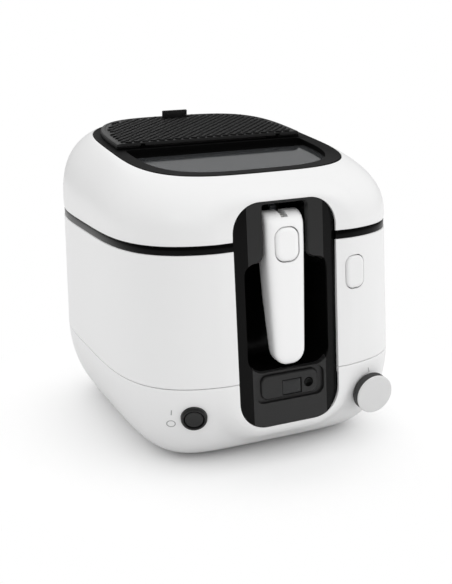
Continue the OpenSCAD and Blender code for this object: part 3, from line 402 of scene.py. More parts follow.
def moulded(name, color, roughness, ior, cells, patches, specular=0.5):
    # cells are the grain's size in mm, strength, depth in mm and detail, and patches are duller
    # spots: their size in mm, and how far the roughness falls and rises there
    material, tree, shader, coords = startMaterial(name, color, roughness, ior, Specular_IOR_Level=specular)
    size, strength, depth, detail = cells
    width, less, more = patches
    patchy = spread(tree, noise(tree, coords, width), roughness - less, roughness + more)
    feed(tree, shader, {"Normal": bump(tree, noise(tree, coords, size, detail), strength, depth),
                        "Roughness": patchy})
    return material


def polishedAbs(name, color, roughness=0.3, specular=0.5):
    # injection-moulded ABS from a polished tool: satin gloss with a very slight orange peel
    return moulded(name, color, roughness, 1.53, (9.0, 0.12, 0.05, 2.0), (35.0, 0.02, 0.03), specular)


def texturedAbs(name, color, roughness=0.5, grainMm=0.9, strength=0.35, specular=0.5):
    # spark-eroded tool: a fine leathery grain, drawn coarser than real so that it shows
    return moulded(name, color, roughness, 1.53, (grainMm, strength, 0.08, 4.0), (22.0, 0.04, 0.06), specular)


def siliconeRubber(name, color):
    # moulded silicone or rubber: dull, with a soft powdery grain
    return moulded(name, color, 0.75, 1.45, (0.8, 0.3, 0.06, 3.0), (12.0, 0.07, 0.07))


def shadeBorderedAbs(name, middle, shadedBorder, half, depth):
    # satin black ABS: its sloped borders, past half from the middle plane, are smoother and glossier, and
    # their darker black is painted shade;
    # what lies deeper than depth behind the face, down in the recesses, takes the same darker black as
    # painted shade, and is smoother too
    material, tree, shader, coords = startMaterial(name, middle, 0.42, 1.53)
    place = addNode(tree, "SeparateXYZ", {"Vector": coords}).outputs
    borderShadeMask = maths(tree, "GREATER_THAN", maths(tree, "ABSOLUTE", place["X"]), half * mm)
    upright = maths(tree, "MULTIPLY_ADD", place["Z"], -face["lean"], place["Y"])
    recessShadeMask = maths(tree, "GREATER_THAN", upright, (faceY(0) - shiftY + depth) * mm)
    # where either mask is set, the black is darker as painted shade and the gloss is smoother
    outer = maths(tree, "MAXIMUM", borderShadeMask, recessShadeMask)
    feed(tree, shader, {"Base Color": mixed(tree, outer, middle, shadedBorder),
                        "Roughness": spread(tree, outer, 0.42, 0.2),
                        "Specular IOR Level": spread(tree, outer, 0.5, 0.12),
                        "Normal": bump(tree, noise(tree, coords, 6.0, 2.0), 0.1, 0.04)})
    return material


def drawnMetal(name, color, roughness, stretch=(1, 1, 1), sizeMm=1.2):
    # rolled or drawn metal: fine lines along the rolling direction
    material, tree, shader, coords = startMaterial(name, color, roughness, Metallic=1.0)
    along = addNode(tree, "Mapping", {"Vector": coords, "Scale": stretch}).outputs["Vector"]
    lines = noise(tree, along, sizeMm)
    feed(tree, shader, {"Roughness": spread(tree, lines, roughness - 0.07, roughness + 0.1),
                        "Normal": bump(tree, lines, 0.15, 0.02)})
    return material


def openFoam(name, color, cellMm):
    # reticulated foam or carbon fleece: open cells of cellMm
    material, tree, shader, coords = startMaterial(name, color, 0.95)
    cells = addNode(tree, "TexVoronoi", {"Vector": coords, "Scale": 1000 / cellMm}).outputs["Distance"]
    feed(tree, shader, {"Base Color": mixed(tree, cells, "#050505", color),
                        "Normal": bump(tree, cells, 0.8, 0.6)})
    return material


def nonStick(name, color, speck):
    # PTFE-coated aluminium: dark, speckled, slightly shiny
    material, tree, shader, coords = startMaterial(name, color, 0.38)
    specks = spread(tree, noise(tree, coords, 1.6, 5.0), 0.0, 1.0, 0.6, 0.7)
    feed(tree, shader, {"Base Color": mixed(tree, specks, color, speck),
                        "Normal": bump(tree, noise(tree, coords, 1.2), 0.2, 0.05)})
    return material


def windowGlass(name, color, bandColor, bandY):
    # 2 mm toughened glass, smoke tinted, with a black printed band behind bandY
    material, tree, shader, coords = startMaterial(name, color, 0.06)
    place = addNode(tree, "SeparateXYZ", {"Vector": coords}).outputs
    band = maths(tree, "GREATER_THAN", place["Y"], (bandY - shiftY) * mm)
    feed(tree, shader, {"Base Color": mixed(tree, band, color, bandColor),
                        "Transmission Weight": maths(tree, "SUBTRACT", 0.9, band),
                        "Roughness": spread(tree, noise(tree, coords, 60.0), 0.05, 0.09)})
    return material


# the handle's white is lighter than the casing's white: painted light
tones = dict(white="#f2f2f2", handleLitWhite="#fcfcfc", knobFace="#e2e2e2", black="#0c0c0c",
             consoleBlack="#1b1b1b", consoleBorderShade="#060606", panelBlack="#060606", bandBlack="#030303",
             hatchBlack="#161616", skirtGrey="#303030", plateGrey="#151515", lens="#141516",
             mark="#a8a8a8")
whiteAbs = polishedAbs("polished white ABS", tones["white"])
# the handle is given a lighter white than the casing's same ABS: painted light
litHandleAbs = polishedAbs("polished white ABS of the handle", tones["handleLitWhite"])
knobAbs = polishedAbs("satin light grey ABS", tones["knobFace"], 0.42)
# the console's sloped borders and recesses are painted darker: painted shade
consoleAbs = shadeBorderedAbs("satin black ABS of the console", tones["consoleBlack"], tones["consoleBorderShade"],
                         37.0, 4.5)
bandAbs = polishedAbs("gloss black ABS of the rim", tones["bandBlack"], 0.22, 0.1)
panelAbs = texturedAbs("fine grained black ABS of the lid panel", tones["panelBlack"], 0.5, 0.9, 0.2, 0.07)
hatchAbs = texturedAbs("black ABS of the filter hatch", tones["hatchBlack"], 0.4, 0.8, 0.15)
blackAbs = texturedAbs("black ABS trim", tones["black"], 0.4)
greyAbs = texturedAbs("dark grey textured ABS", tones["skirtGrey"])
plateAbs = polishedAbs("dark satin ABS of the timer plate", tones["plateGrey"], 0.36)
displayLens = polishedAbs("tinted acrylic display lens", tones["lens"], 0.2)
markInk = polishedAbs("grey pad-printed mark", tones["mark"], 0.5)
gearAcetal = polishedAbs("natural white acetal of the gear", "#efefec", 0.4)
creamResin = texturedAbs("cream phenolic resin", "#d9d2c0", 0.6)
boardLacquer = texturedAbs("green lacquered circuit board", "#1f5a30", 0.35)
steelSheet = drawnMetal("zinc plated steel", "#b9bcc0", 0.35)
springSteel = drawnMetal("oiled spring steel", "#8f9296", 0.32)
wirePlate = drawnMetal("nickel plated wire", "#cfd1d3", 0.2)
linerSheet = drawnMetal("brushed aluminium sheet", "#b4b6b8", 0.36, (0.1, 1, 1), 0.7)
copperTube = drawnMetal("drawn copper tube", "#b87a55", 0.35)
heaterSheath = drawnMetal("oxidised heater sheath", "#4b4a49", 0.5)
footRubber = siliconeRubber("black moulded rubber", "#1e1e1e")
sealRubber = siliconeRubber("grey silicone seal", "#7d7f81")
filterFoam = openFoam("open-cell grease filter foam", "#4a4a4a", 1.4)
charcoalFleece = openFoam("activated carbon fleece", "#242424", 0.9)
bowlCoating = nonStick("non-stick coated aluminium", "#333435", "#6a6c6e")
glassPane = windowGlass("smoke tinted glass", "#8c8f92", "#080808", -19.0)
print("materials made")

# camera
camera = dict(azimuth=-22.99, elevation=15.20, roll=-1.71, place=(-366.8, -888.2, 384.2), lens=58.42)
a, e, r = (math.radians(camera[k]) for k in ("azimuth", "elevation", "roll"))
back = Vector((math.sin(a) * math.cos(e), -math.cos(a) * math.cos(e), math.sin(e)))
right = Vector((math.cos(a), math.sin(a), 0))
up = back.cross(right)
cameraRight = math.cos(r) * right + math.sin(r) * up
cameraUp = -math.sin(r) * right + math.cos(r) * up
deselectAll()
bpy.ops.object.camera_add()
eye = bpy.context.object
eye.data.lens = camera["lens"]
eye.data.sensor_width = 36
eye.data.clip_end = 50
x, y, z = camera["place"]
turn = Matrix((cameraRight, cameraUp, back)).transposed().to_4x4()
eye.matrix_world = Matrix.Translation((x * mm, (y - shiftY) * mm, z * mm)) @ turn
bpy.context.scene.camera = eye

# floor, light and world
studio = dict(keyLamp=((-1.1, -1.5, 1.9), 0.9, 2.2), backLamp=((0.2, 1.9, 1.7), 1.4, 3.0),
              diffuse=(0.76, 0.5, 0.15, 0.28), corner=-0.5, mirror=(0.06, 0.12, 0.27, 0.15),
              floor="#ffffff", floorBounce="#dedede", floorR=3.0, fade=(0.13, 0.32))
plainWhite = (1, 1, 1, 1)


def areaLamp(name):
    place, size, power = studio[name]
    deselectAll()
    bpy.ops.object.light_add(type="AREA", location=place)
    lamp = bpy.context.object
    lamp.name = name
    lamp.data.shape = "DISK"
    lamp.data.size = size
    lamp.data.energy = power
    lamp.rotation_euler = (Vector((0, 0, 0.15)) - Vector(place)).to_track_quat("-Z", "Y").to_euler()


areaLamp("keyLamp")
areaLamp("backLamp")


def seenRays(tree):
    # the outputs of a light path, and 1 for what the camera sees directly or through glass
    path = addNode(tree, "LightPath").outputs
    return path, maths(tree, "MAXIMUM", path["Is Camera Ray"], path["Is Transmission Ray"])


world = bpy.data.worlds.new("studio")
bpy.context.scene.world = world
world.use_nodes = True
tree = world.node_tree
sides = addNode(tree, "SeparateXYZ", {"Vector": addNode(tree, "TexCoord").outputs["Generated"]}).outputs


def leaning(total, *weights):
    # a strength that grows towards the right, the back and the top
    for socket, weight in zip("XYZ", weights):
        total = maths(tree, "MULTIPLY_ADD", maths(tree, "MAXIMUM", sides[socket], 0.0), weight, total)
    return total


# less light comes from between the front and the left, so that the rounded corner turns softly
corner = maths(tree, "MULTIPLY", sides["X"], sides["Y"])
around = maths(tree, "MULTIPLY_ADD", corner, studio["corner"], leaning(*studio["diffuse"]))
path, seen = seenRays(tree)
light = mixed(tree, path["Is Glossy Ray"], around, leaning(*studio["mirror"]))
feed(tree, tree.nodes["Background"], {"Color": plainWhite, "Strength": mixed(tree, seen, light, plainWhite)})

deselectAll()
bpy.ops.mesh.primitive_circle_add(vertices=96, radius=studio["floorR"], fill_type="NGON", location=(0, 0, 0))
floor = bpy.context.object
floor.name = "floor"
paper, tree, shader, coords = startMaterial("white paper sweep", studio["floor"], 0.9, Specular_IOR_Level=0.1)
path, seen = seenRays(tree)
feed(tree, shader, {"Base Color": mixed(tree, path["Is Camera Ray"], studio["floorBounce"], studio["floor"])})
# past the object's shadow the floor is as white as the background
distance = addNode(tree, "VectorMath", {0: coords}, operation="LENGTH").outputs["Value"]
fade = spread(tree, distance, 0.0, 1.0, *studio["fade"], interpolation_type="SMOOTHSTEP")
glow = addNode(tree, "Emission", {"Color": plainWhite, "Strength": 1.0}).outputs[0]
blend = {0: maths(tree, "MULTIPLY", fade, seen), 1: shader.outputs[0], 2: glow}
feed(tree, tree.nodes["Material Output"], {"Surface": addNode(tree, "MixShader", blend).outputs[0]})
coverWith(floor, paper)
print("stage set")

# casing
consoleHole = faceOutline(0.6)
bowl = dict(w=202.0, d=212.0, r=47.0, t=1.2, floor=88.0, y=20.0)
cover = dict(w=145.0, d=207.8, r=24.0, footX=76.2, footY=102.6, footR=4.5)
button = dict(x=-90.3, z=56.3, r=11.8)
inlet = dict(x=-60, z=45, r=7.0)
knob = dict(x=87.2, z=53.4, r=19.0, h=10.0, yaw=math.radians(2.2), pitch=math.radians(-6.6),
            shaftHole=5.1)
release = dict(x=70.0, z=172.0, w=20.0, h=30.0, r=8.0)


def rectRing(w, d, r, z, yMid):
    # a rounded rectangle read along the casing's own directions
    points = []
    for phi in angles:
        c, s = math.cos(phi), math.sin(phi)
        best = min(w / 2 / max(abs(c), 1e-6), d / 2 / max(abs(s), 1e-6))
        x, y = abs(best * c), abs(best * s)
        cx, cy = w / 2 - r, d / 2 - r
        if x > cx and y > cy:
            bq = cx * abs(c) + cy * abs(s)
            best = bq + math.sqrt(max(bq * bq - (cx * cx + cy * cy - r * r), 0))
        points.append((best * c, best * s + yMid, z))
    return points


def onKnob():
    # along the knob's axis, from the height of the nearest point of the wall under its rim
    turn, tip = knob["yaw"], knob["pitch"]
    foot = wallY(knob["x"], knob["z"])
    proud = 0
    for i in range(24):
        u, v = knob["r"] * math.cos(math.radians(15 * i)), knob["r"] * math.sin(math.radians(15 * i))
        gap = foot + u * math.sin(turn) + v * math.sin(tip)
        gap -= wallY(knob["x"] + u * math.cos(turn), knob["z"] + v * math.cos(tip))
        proud = max(proud, gap / (math.cos(turn) * math.cos(tip)))
    place = Matrix.Translation((knob["x"], foot, knob["z"]))
    return place @ Matrix.Rotation(turn, 4, "Z") @ Matrix.Rotation(-tip, 4,
                                                                   "X") @ Matrix.Translation((0, -proud, 0))


def holeAt(place, radius, depth=20):
    return prism("cutter", circleOutline(radius, 64), -20, depth, place)


def onRear(x, z):
    # the rear wall is the front wall's mirror image about the middle of its own level
    return Matrix.Translation((x, 2 * baseSize(baseTurn(z))[3] - wallY(x, z), z))


edge = 0.45
quarter = math.pi / 2
fit = 0.6
baseRows = [rectRing(cover["w"] + fit, cover["d"] + fit, cover["r"], z, c["baseBack"])
            for z in (c["footH"] + c["wall"], c["footH"])]
baseRows += [baseRing(quarter)]
baseRows += [baseRing(quarter * i / 36) for i in range(35, 0, -1)]
lowerEdge, upperEdge = c["seamZ"] - c["seamGap"] / 2, c["seamZ"] + c["seamGap"] / 2
baseRows += [baseRing(0, 0, lowerEdge - edge), baseRing(0, edge * 0.3, lowerEdge - edge * 0.3),
             baseRing(0, edge, lowerEdge), baseRing(0, c["wall"], lowerEdge)]
baseRows += [baseRing(quarter * t, c["wall"]) for t in (0.15, 0.3, 0.45, 0.6, 0.72)]
baseRows += [baseRing(quarter, c["wall"], c["footH"] + c["wall"])]
baseRows += [baseRows[0]]
base = gridSkin("lowerCasing", baseRows)
knobPlace = onKnob()
cutBy(base, prism("cutter", consoleHole, -20, 60, onFace),
      holeAt(onWall(button["x"], button["z"]), button["r"] + 0.3),
      holeAt(knobPlace, knob["shaftHole"], 26), holeAt(onRear(inlet["x"], inlet["z"]), inlet["r"]))
for sx in (-1, 1):
    for sy in (-1, 1):
        foot = shifted(circleOutline(cover["footR"], 32), sx * cover["footX"],
                       c["baseBack"] + sy * cover["footY"])
        cutBy(base, prism("cutter", foot, 0, 9, None, "z"))
finishPiece(smoothShade(base, 32), whiteAbs, "base", "white_plastic", "base_tray")

bodyRows = [bodyRing(c["seamZ"] - 5, 3.2), bodyRing(upperEdge, 3.2), bodyRing(upperEdge, edge),
            bodyRing(upperEdge + edge * 0.3, edge * 0.3), bodyRing(upperEdge + edge, 0)]
bodyRows += [bodyRing(c["seamZ"] + 1 + (c["bandLow"] - c["seamZ"] - 2) * i / 24) for i in range(25)]
bodyRows += [bodyRing(c["bandLow"] - edge), bodyRing(c["bandLow"] - edge * 0.3, edge * 0.3),
             bodyRing(c["bandLow"], edge), bodyRing(c["bandLow"], c["wall"])]
bodyRows += [bodyRing(c["seamZ"] + 6, 2 * c["wall"]), bodyRing(c["seamZ"] - 5, 2 * c["wall"])]
bodyRows += [bodyRows[0]]
body = gridSkin("upperCasing", bodyRows)
releaseHole = roundedOutline(release["w"] + 1.8, release["h"] + 1.8, release["r"] + 0.5, 10)
cutBy(body, prism("cutter", consoleHole, -20, 60, onFace),
      prism("cutter", releaseHole, -20, 20, onWall(release["x"], release["z"])))
finishPiece(smoothShade(body, 32), whiteAbs, "base", "white_plastic", "body_shell")
print("casing made")

# rim band, with its hinge lugs
hinge = dict(y=171.2, z=214.2, lugR=6.2, pinR=3.05, lugW=12.0, inner=27.0, outer=40.0)
band = dict(inset=0.5, edge=0.8)


def bandRing(z, inset):
    return ring(c["halfW"], c["halfD"], c["squareness"], z, inset=inset)


x, z = release["x"], release["z"]
releaseYaw = math.atan(wallY(x + 0.5, z) - wallY(x - 0.5, z))
releaseTurn = Matrix.Translation((x, wallY(x, z), 0)) @ Matrix.Rotation(releaseYaw, 4, "Z")
openW, openD, openR = bowl["w"] + 2 * bowl["t"] + fit, bowl["d"] + 2 * bowl["t"] + fit, bowl["r"] + bowl["t"]
bandRows = [bandRing(c["bandLow"] + 0.05, 7.5), bandRing(c["bandLow"] + 0.05, band["inset"] + band["edge"]),
            bandRing(c["bandLow"] + 0.3, band["inset"] + 0.2),
            bandRing(c["bandLow"] + band["edge"], band["inset"]),
            bandRing(c["rimZ"] - band["edge"], band["inset"]),
            bandRing(c["rimZ"] - 0.25, band["inset"] + 0.25),
            bandRing(c["rimZ"], band["inset"] + band["edge"]), bandRing(c["rimZ"], 8)]
bandRows += [rectRing(openW + 0.8, openD + 0.8, openR, c["rimZ"], bowl["y"]),
             rectRing(openW, openD, openR, c["rimZ"] - 0.4, bowl["y"]),
             rectRing(openW, openD, openR, c["rimZ"] - 3, bowl["y"]), bandRing(c["rimZ"] - 3, 7.5)]
bandRows += [bandRows[0]]
rim = gridSkin("rimBand", bandRows)


def hingeLug(name, x0, x1, y0, z0, z1):
    lug = rodX(name, hinge["lugR"], x0, x1, hinge["y"], hinge["z"], 0.7)
    addTo(lug, block("arm", (x0, x1), (y0, hinge["y"]), (z0, z1)))
    return smoothShade(cutBy(lug, rodX("cutter", hinge["pinR"], x0 - 1, x1 + 1, hinge["y"], hinge["z"])), 32)


cutBy(rim, prism("cutter", consoleHole, -20, 37.3, onFace),
      block("cutter", (-13, 13), (-140, -98), (c["bandLow"] - 1, c["rimZ"] + 1)),
      block("cutter", (-7.5, 7.5), (11, 21), (c["bandLow"] - 1, c["rimZ"] + 1), releaseTurn))
half = hinge["lugW"] / 2
lugs = [hingeLug("lug", x - half, x + half, 158, hinge["z"] - hinge["lugR"], c["rimZ"])
        for x in (-hinge["inner"], hinge["inner"])]
joinAll(smoothShade(rim, 32), *lugs)
finishPiece(rim, bandAbs, "base", "black_plastic", "rim_band")
print("rim made")

# lid
lidRows = [lidRing(0, 0.6), lidRing(0.008, 0.2), lidRing(0.03, 0)]
lidRows += [lidRing(0.03 + (panelAt - 0.03) * i / 40) for i in range(1, 40)]
ledgeDrop = 2.4 / math.cos(panel["tilt"])
lidRows += [lidRing(panelAt, 0.0, 0.15), lidRing(panelAt, 0.25, 0.45), lidRing(panelAt, 0.3, ledgeDrop),
            lidRing(panelAt, 3, ledgeDrop), lidRing(panelAt, 3, ledgeDrop + 2)]
lidRows += [lidRing(t, c["wall"], c["wall"] * math.sin(t)) for t in map(math.radians, (45, 36, 26, 16, 8, 0))]
lidRows += [lidRows[0]]
lidShell = gridSkin("lidShell", lidRows)
cutBy(lidShell, prism("cutter", faceOutline(1), -20, 40, onFace))
lugTop = hinge["z"] + hinge["lugR"]
lidParts = [hingeLug("lug", x - half, x + half, 162.5, lugTop - 6, lugTop)
            for x in (-hinge["outer"], hinge["outer"])]
posts = dict(x=120.5, y=(-60, 90), r=4.5, web=13, low=216, high=238)
for s in (-1, 1):
    for y in posts["y"]:
        post = pad("post", circleOutline(posts["r"], 24), [(0, 0), (0, posts["high"] - posts["low"])],
                   Matrix.Translation((s * posts["x"], y, 0)), posts["high"], "z")
        web = block("web", sorted((s * posts["x"], s * (posts["x"] + posts["web"]))), (y - 2, y + 2),
                    (posts["low"], posts["high"]))
        lidParts.append(smoothShade(addTo(post, web), 32))
joinAll(smoothShade(lidShell, 32), *lidParts)
finishPiece(lidShell, whiteAbs, "lid", "white_plastic", "lid_shell")


def superellipse(a, b, n, turns):
    return [(polarR(t, a, b, n) * math.cos(t), polarR(t, a, b, n) * math.sin(t)) for t in turns]


def panelOutline(inset):
    turns = [2 * math.pi * i / 160 for i in range(160)]
    return superellipse(panel["a"] - inset, panel["b"] - inset, panel["n"], turns)


def halfOutline(inset, side, limit, front, corner=5.0):
    # the front or rear part of the panel's outline, closed along a straight line with round corners
    sign = -1 if front else 1
    turns = [math.pi * i / 72 for i in range(73)]
    arc = superellipse(panel["a"] - inset - side, panel["b"] - inset, panel["n"], turns)
    kept = [(x, sign * y) for x, y in arc if y > sign * limit + corner]
    turns = [math.radians(15 * i) for i in range(7)]
    corners = [(kept[-1][0] + corner * (1 - math.cos(t)), limit + sign * corner * (1 - math.sin(t)))
               for t in turns]
    return kept + corners + [(-x, y) for x, y in reversed(corners)]


window = dict(margin=14.0, rear=-6.0, bay=6.0, depth=5.0)
hatch = dict(side=8.7, inset=3.5, pinY=2.6, pinZ=2.9, pinR=1.2, rib=(6.6, 2.3, 1.3), pitch=(8.6, 4.3),
             slant=24)


def topPad(name, outline, profile, top):
    return pad(name, outline, profile, onTop, top, "z")


def windowPart(grow, limit, front):
    # an outline of the window or the filter bay, grow narrower than its opening
    return lambda inset: halfOutline(window["margin"] + grow + inset, 0, limit, front)


def toHatchPin(rod):
    for vertex in rod.data.vertices:
        put(vertex, inMm(vertex.co) + Vector((0, hatch["pinY"], hatch["pinZ"])), onTop)
    return smoothShade(rod)


def pair(x0, x1):
    # a span along X on the right, and its mirror image on the left
    return (-x1, -x0), (x0, x1)


plate = topPad("topPanel", lambda inset: panelOutline(0.45 + inset),
               [(1.6, 0.25), (1.1, 0.0), (0.5, 0.12), (0.12, 0.5), (0, 1.0), (0, 2.4)], 0.35)
addTo(plate, topPad("recessWall", windowPart(-2, window["rear"] + 2, True), [(0, 0), (0, 8.8)], -0.4),
      topPad("bayWall", windowPart(-2, window["bay"] - 2, False), [(0, 0), (0, 15.5)], -0.4))
cutBy(plate, topPad("cutter", windowPart(0, window["rear"], True), [(0, 0), (0, 20)], 12),
      topPad("cutter", windowPart(0, window["bay"], False), [(0, 0), (0, 26)], 12))
softEdges(plate, 0.7, 2, 50)
grate = [softEdges(block("bar", (x - 4, x + 4), (18, 108), (-15.4, -14), onTop), 0.3, 1)
         for x in range(-91, 92, 14)]
ears = [toHatchPin(rodX("ear", hatch["pinR"], x0, x1, 0, 0, 0.15, 20)) for x0, x1 in pair(63, 75)]
lobes = [softEdges(block("lobe", x, (1.6, 3.6), (-0.2, 2.8), onTop), 0.25, 1) for x in pair(71.5, 75)]
joinAll(plate, *grate, *ears, *lobes)
finishPiece(plate, panelAbs, "lid", "black_plastic", "top_panel")

pane = topPad("windowPane", windowPart(-0.9, window["rear"] + 0.9, True),
              [(0.3, 0), (0, 0.3), (0, 1.7), (0.3, 2.0)], -window["depth"])
finishPiece(smoothShade(pane, 32), glassPane, "lid", "glass", "window_pane")
print("lid made")

# filter hatch
def hatchLine(inset, limit):
    return halfOutline(hatch["inset"] + inset, hatch["side"] - hatch["inset"], limit, False, 3.0)


hatchPlate = topPad("filterHatch", lambda inset: hatchLine(inset, min(inset, 1.2)),
                    [(5.0, 0.55), (4.4, 0.5), (3.9, 0.0), (2.2, 0.15), (0.7, 0.9), (0.0, 2.4), (0.0, 5.0)],
                    5.3)
notches = [block("cutter", x, (-1, 3), (-2, 4.3), onTop) for x in reversed(pair(70.8, 75.7))]
cutBy(hatchPlate, topPad("cutter", lambda inset: hatchLine(3, 3.0), [(0, 0), (0, 12)], 3.6),
      block("cutter", (-200, 200), (-1, 2.9), (-2, 2.7), onTop), *notches)
smoothShade(hatchPlate, 30)


def oneRib():
    # a low oblong ridge with rounded ends
    w, d, h = hatch["rib"]
    deselectAll()
    bpy.ops.mesh.primitive_cylinder_add(vertices=10, radius=1, depth=1, end_fill_type="NGON")
    rib = bpy.context.object
    bpy.ops.object.mode_set(mode="EDIT")
    bpy.ops.mesh.select_all(action="DESELECT")
    bm = bmesh.from_edit_mesh(rib.data)
    for f in bm.faces:
        if f.normal.z > 0.9:
            f.select = True
    bmesh.update_edit_mesh(rib.data)
    bpy.ops.mesh.inset(thickness=0.38)
    bpy.ops.transform.translate(value=(0, 0, 0.22))
    bpy.ops.object.mode_set(mode="OBJECT")
    for vertex in rib.data.vertices:
        v = vertex.co
        vertex.co = (v.x * w / 2, v.y * d / 2, (v.z + 0.5) * h)
    return rib


rib = oneRib()
slant = math.radians(hatch["slant"])
pitchX, pitchY = hatch["pitch"]
ribArea = hatchLine(7.5, 5.0)


def insideOutline(x, y, points):
    hit = False
    for (x0, y0), (x1, y1) in zip(points, points[1:] + points[:1]):
        if (y0 > y) != (y1 > y) and x < (x1 - x0) * (y - y0) / (y1 - y0) + x0:
            hit = not hit
    return hit


field = bmesh.new()
for j in range(28):
    for i in range(-13, 14):
        x = (i + j % 2 / 2) * pitchX
        y = 6.5 + j * pitchY
        if not insideOutline(x, y, ribArea) or (abs(x) < 15.5 and y > 105):
            continue
        spin = Matrix.Translation((x, y, 4.7)) @ Matrix.Rotation(slant if j % 2 else -slant, 4, "Z")
        first = len(field.verts)
        field.from_mesh(rib.data)
        field.verts.ensure_lookup_table()
        for vertex in field.verts[first:]:
            put(vertex, vertex.co, onTop @ spin)
ribField = bpy.data.meshes.new("hatchRibs")
field.to_mesh(ribField)
field.free()
bpy.data.objects.remove(rib)
ribs = bpy.data.objects.new("hatchRibs", ribField)
bpy.context.collection.objects.link(ribs)
smoothShade(ribs, 50)
tab = block("tab", (-14.25, 14.25), (107.0, 110.0), (4.6, 13.3), onTop)
softEdges(tab, 0.9, 3)
bosses = [toHatchPin(cutBy(rodX("boss", 2.2, x0, x1, 0, 0, 0.2, 24),
                           rodX("cutter", 1.25, x0 - 1.5, x1 + 1.5, 0, 0, 0, 24))) for x0, x1 in pair(62, 71)]
joinAll(hatchPlate, ribs, tab, *bosses)
finishPiece(hatchPlate, hatchAbs, "hatch", "black_plastic", "filter_hatch")
print("hatch made")

# console
console = dict(facet=37.0, facetDrop=3.4, pocketHalf=40.0, pocketLow=92.0, pocketTop=191.0, channel=21.5,
               channelTop=242.0, horn=37.0, timerZ=76.5)


def pocketLine(inset):
    # the channel above, opening with S-shaped shoulders into the wide pocket below
    k, p = console["channel"] - inset, console["pocketHalf"] - inset
    low, top = console["pocketLow"] + inset, console["channelTop"] - inset
    shoulder = console["pocketTop"] - inset
    pts = []

    def arc(cx, cz, rad, a0, a1, steps):
        for i in range(steps + 1):
            t = math.radians(a0 + (a1 - a0) * i / steps)
            pts.append((cx + rad * math.cos(t), cz + rad * math.sin(t)))

    arc(k - 3, top - 3, 3, 90, 0, 4)
    arc(k + 7, shoulder + 7, 7, 180, 270, 8)
    arc(p - 11, shoulder - 11, 11, 90, 0, 8)
    arc(p - 15, low + 15, 15, 0, -90, 10)
    return pts + [(-x, z) for x, z in reversed(pts)]


front = pad("console", faceOutline(0), [(0, 0), (0, 16)], onFace)
makeActive(front)
for side in (-1, 1):
    bpy.ops.object.mode_set(mode="EDIT")
    bpy.ops.mesh.select_all(action="SELECT")
    bpy.ops.mesh.bisect(plane_co=(side * console["facet"] * mm, 0, 0), plane_no=(1, 0, 0))
    bpy.ops.object.mode_set(mode="OBJECT")
toFace = onFace.inverted()
for vertex in front.data.vertices:
    p = toFace @ inMm(vertex.co)
    if p.y < 1 and abs(p.x) > console["facet"]:
        p.y += (abs(p.x) - console["facet"]) / (face["width"] / 2 - console["facet"]) * console["facetDrop"]
        put(vertex, p, onFace)
cutBy(front, prism("cutter", faceOutline(-5), 6.0, 20, onFace))
horns = prism("horns", faceOutline(0), 6.5, console["horn"], onFace)
cutBy(horns, block("cutter", (-60, 60), (-10, 60), (0, 195.7), onFace))
pocketBox = prism("pocketBox", shifted(roundedOutline(85, 104, 17.5, 8), 0, 141.5), 5.0, 44.5, onFace)
timerBox = prism("timerBox", shifted(roundedOutline(74, 30, 7, 6), 0, console["timerZ"]), 5.0, 6.2, onFace)
addTo(front, horns, pocketBox, timerBox)
for sx in (-1, 1):
    for z in (56.0, 76.5):
        addTo(front, prism("post", shifted(circleOutline(3.6, 24), sx * 41, z), 4.0, 16, onFace))
pocketCut = pad("cutter", pocketLine, [(-2.2, 0), (-0.8, 20.9), (0, 22.6), (0.6, 30), (4.5, 62)], onFace, -20)
cutBy(pocketCut, block("keep", (-60, 60), (34.5, 60), (193.0, 260), onFace))
cutBy(front, pocketCut,
      block("cutter", (-13, 13), (29.5, 38.2), (194, 246), onFace),
      pad("cutter", shifted(roundedOutline(69, 28, 8, 8), 0, console["timerZ"]),
          [(-2.0, 0), (0, 20.8), (0.4, 23.0)],
          onFace, -20),
      prism("cutter", shifted(roundedOutline(54, 17, 5, 6), 0, console["timerZ"]), -1, 9, onFace))
pivot = dict(y=-145.928, z=220.0, axleR=4.05, leverY=-130.05, leverZ=228.478, leverR=3.05)
cutBy(front, rodX("cutter", pivot["axleR"], -27.5, 27.5, pivot["y"], pivot["z"], 0, 40),
      rodX("cutter", pivot["leverR"], -27.5, 27.5, pivot["leverY"], pivot["leverZ"], 0, 40))
softEdges(front, 0.7, 3, 50)
flatFaces(front, lambda v: abs(abs(v.x) / mm - console["facet"]) < 0.05 and (toFace @ inMm(v)).y < 0.5)
finishPiece(front, consoleAbs, "base", "black_plastic", "console")
print("console made")

# timer
timer = dict(w=57.0, h=23.0, lens=(2, 74), button=(19.0, 75.5))
timerPlate = pad("timerPlate", shifted(roundedOutline(timer["w"], timer["h"], 6.5, 8), 0, console["timerZ"]),
                 [(2.0, 0), (1.3, 0.0), (0.9, 0.2), (0.15, 1.0), (0.0, 1.3), (0.0, 2.4)], onFace, 0.6)
lensHole = prism("cutter", shifted(roundedOutline(19.6, 14.6, 0.8, 3), *timer["lens"]), -2, 6, onFace)
dimpleHole = prism("cutter", shifted(circleOutline(4.6, 32), *timer["button"]), -2, 6, onFace)
cutBy(timerPlate, lensHole, dimpleHole)
finishPiece(smoothShade(timerPlate, 32), plateAbs, "base", "dark_grey_plastic", "timer_plate")
lens = pad("timerLens", shifted(roundedOutline(18.4, 13.4, 0.8, 3), *timer["lens"]),
           [(0.6, 0), (0.15, 0.12), (0, 0.5), (0, 1.7)], onFace, 1.25)
finishPiece(smoothShade(lens, 32), displayLens, "base", "display", "timer_display")
dimple = pad("timerButton", shifted(circleOutline(4.2, 40), *timer["button"]),
             [(3.6, 1.1), (2.4, 0.9), (1.4, 0.45), (0.7, 0.1), (0.3, 0.05), (0, 0.4), (0, 3.2)], onFace, 0.5)
stem = prism("stem", shifted(circleOutline(1.5, 24), *timer["button"]), 3.0, 5.5, onFace)
smoothShade(joinAll(dimple, stem), 40)
finishPiece(dimple, bandAbs, "timer", "dark_grey_plastic", "timer_button")
print("timer made")

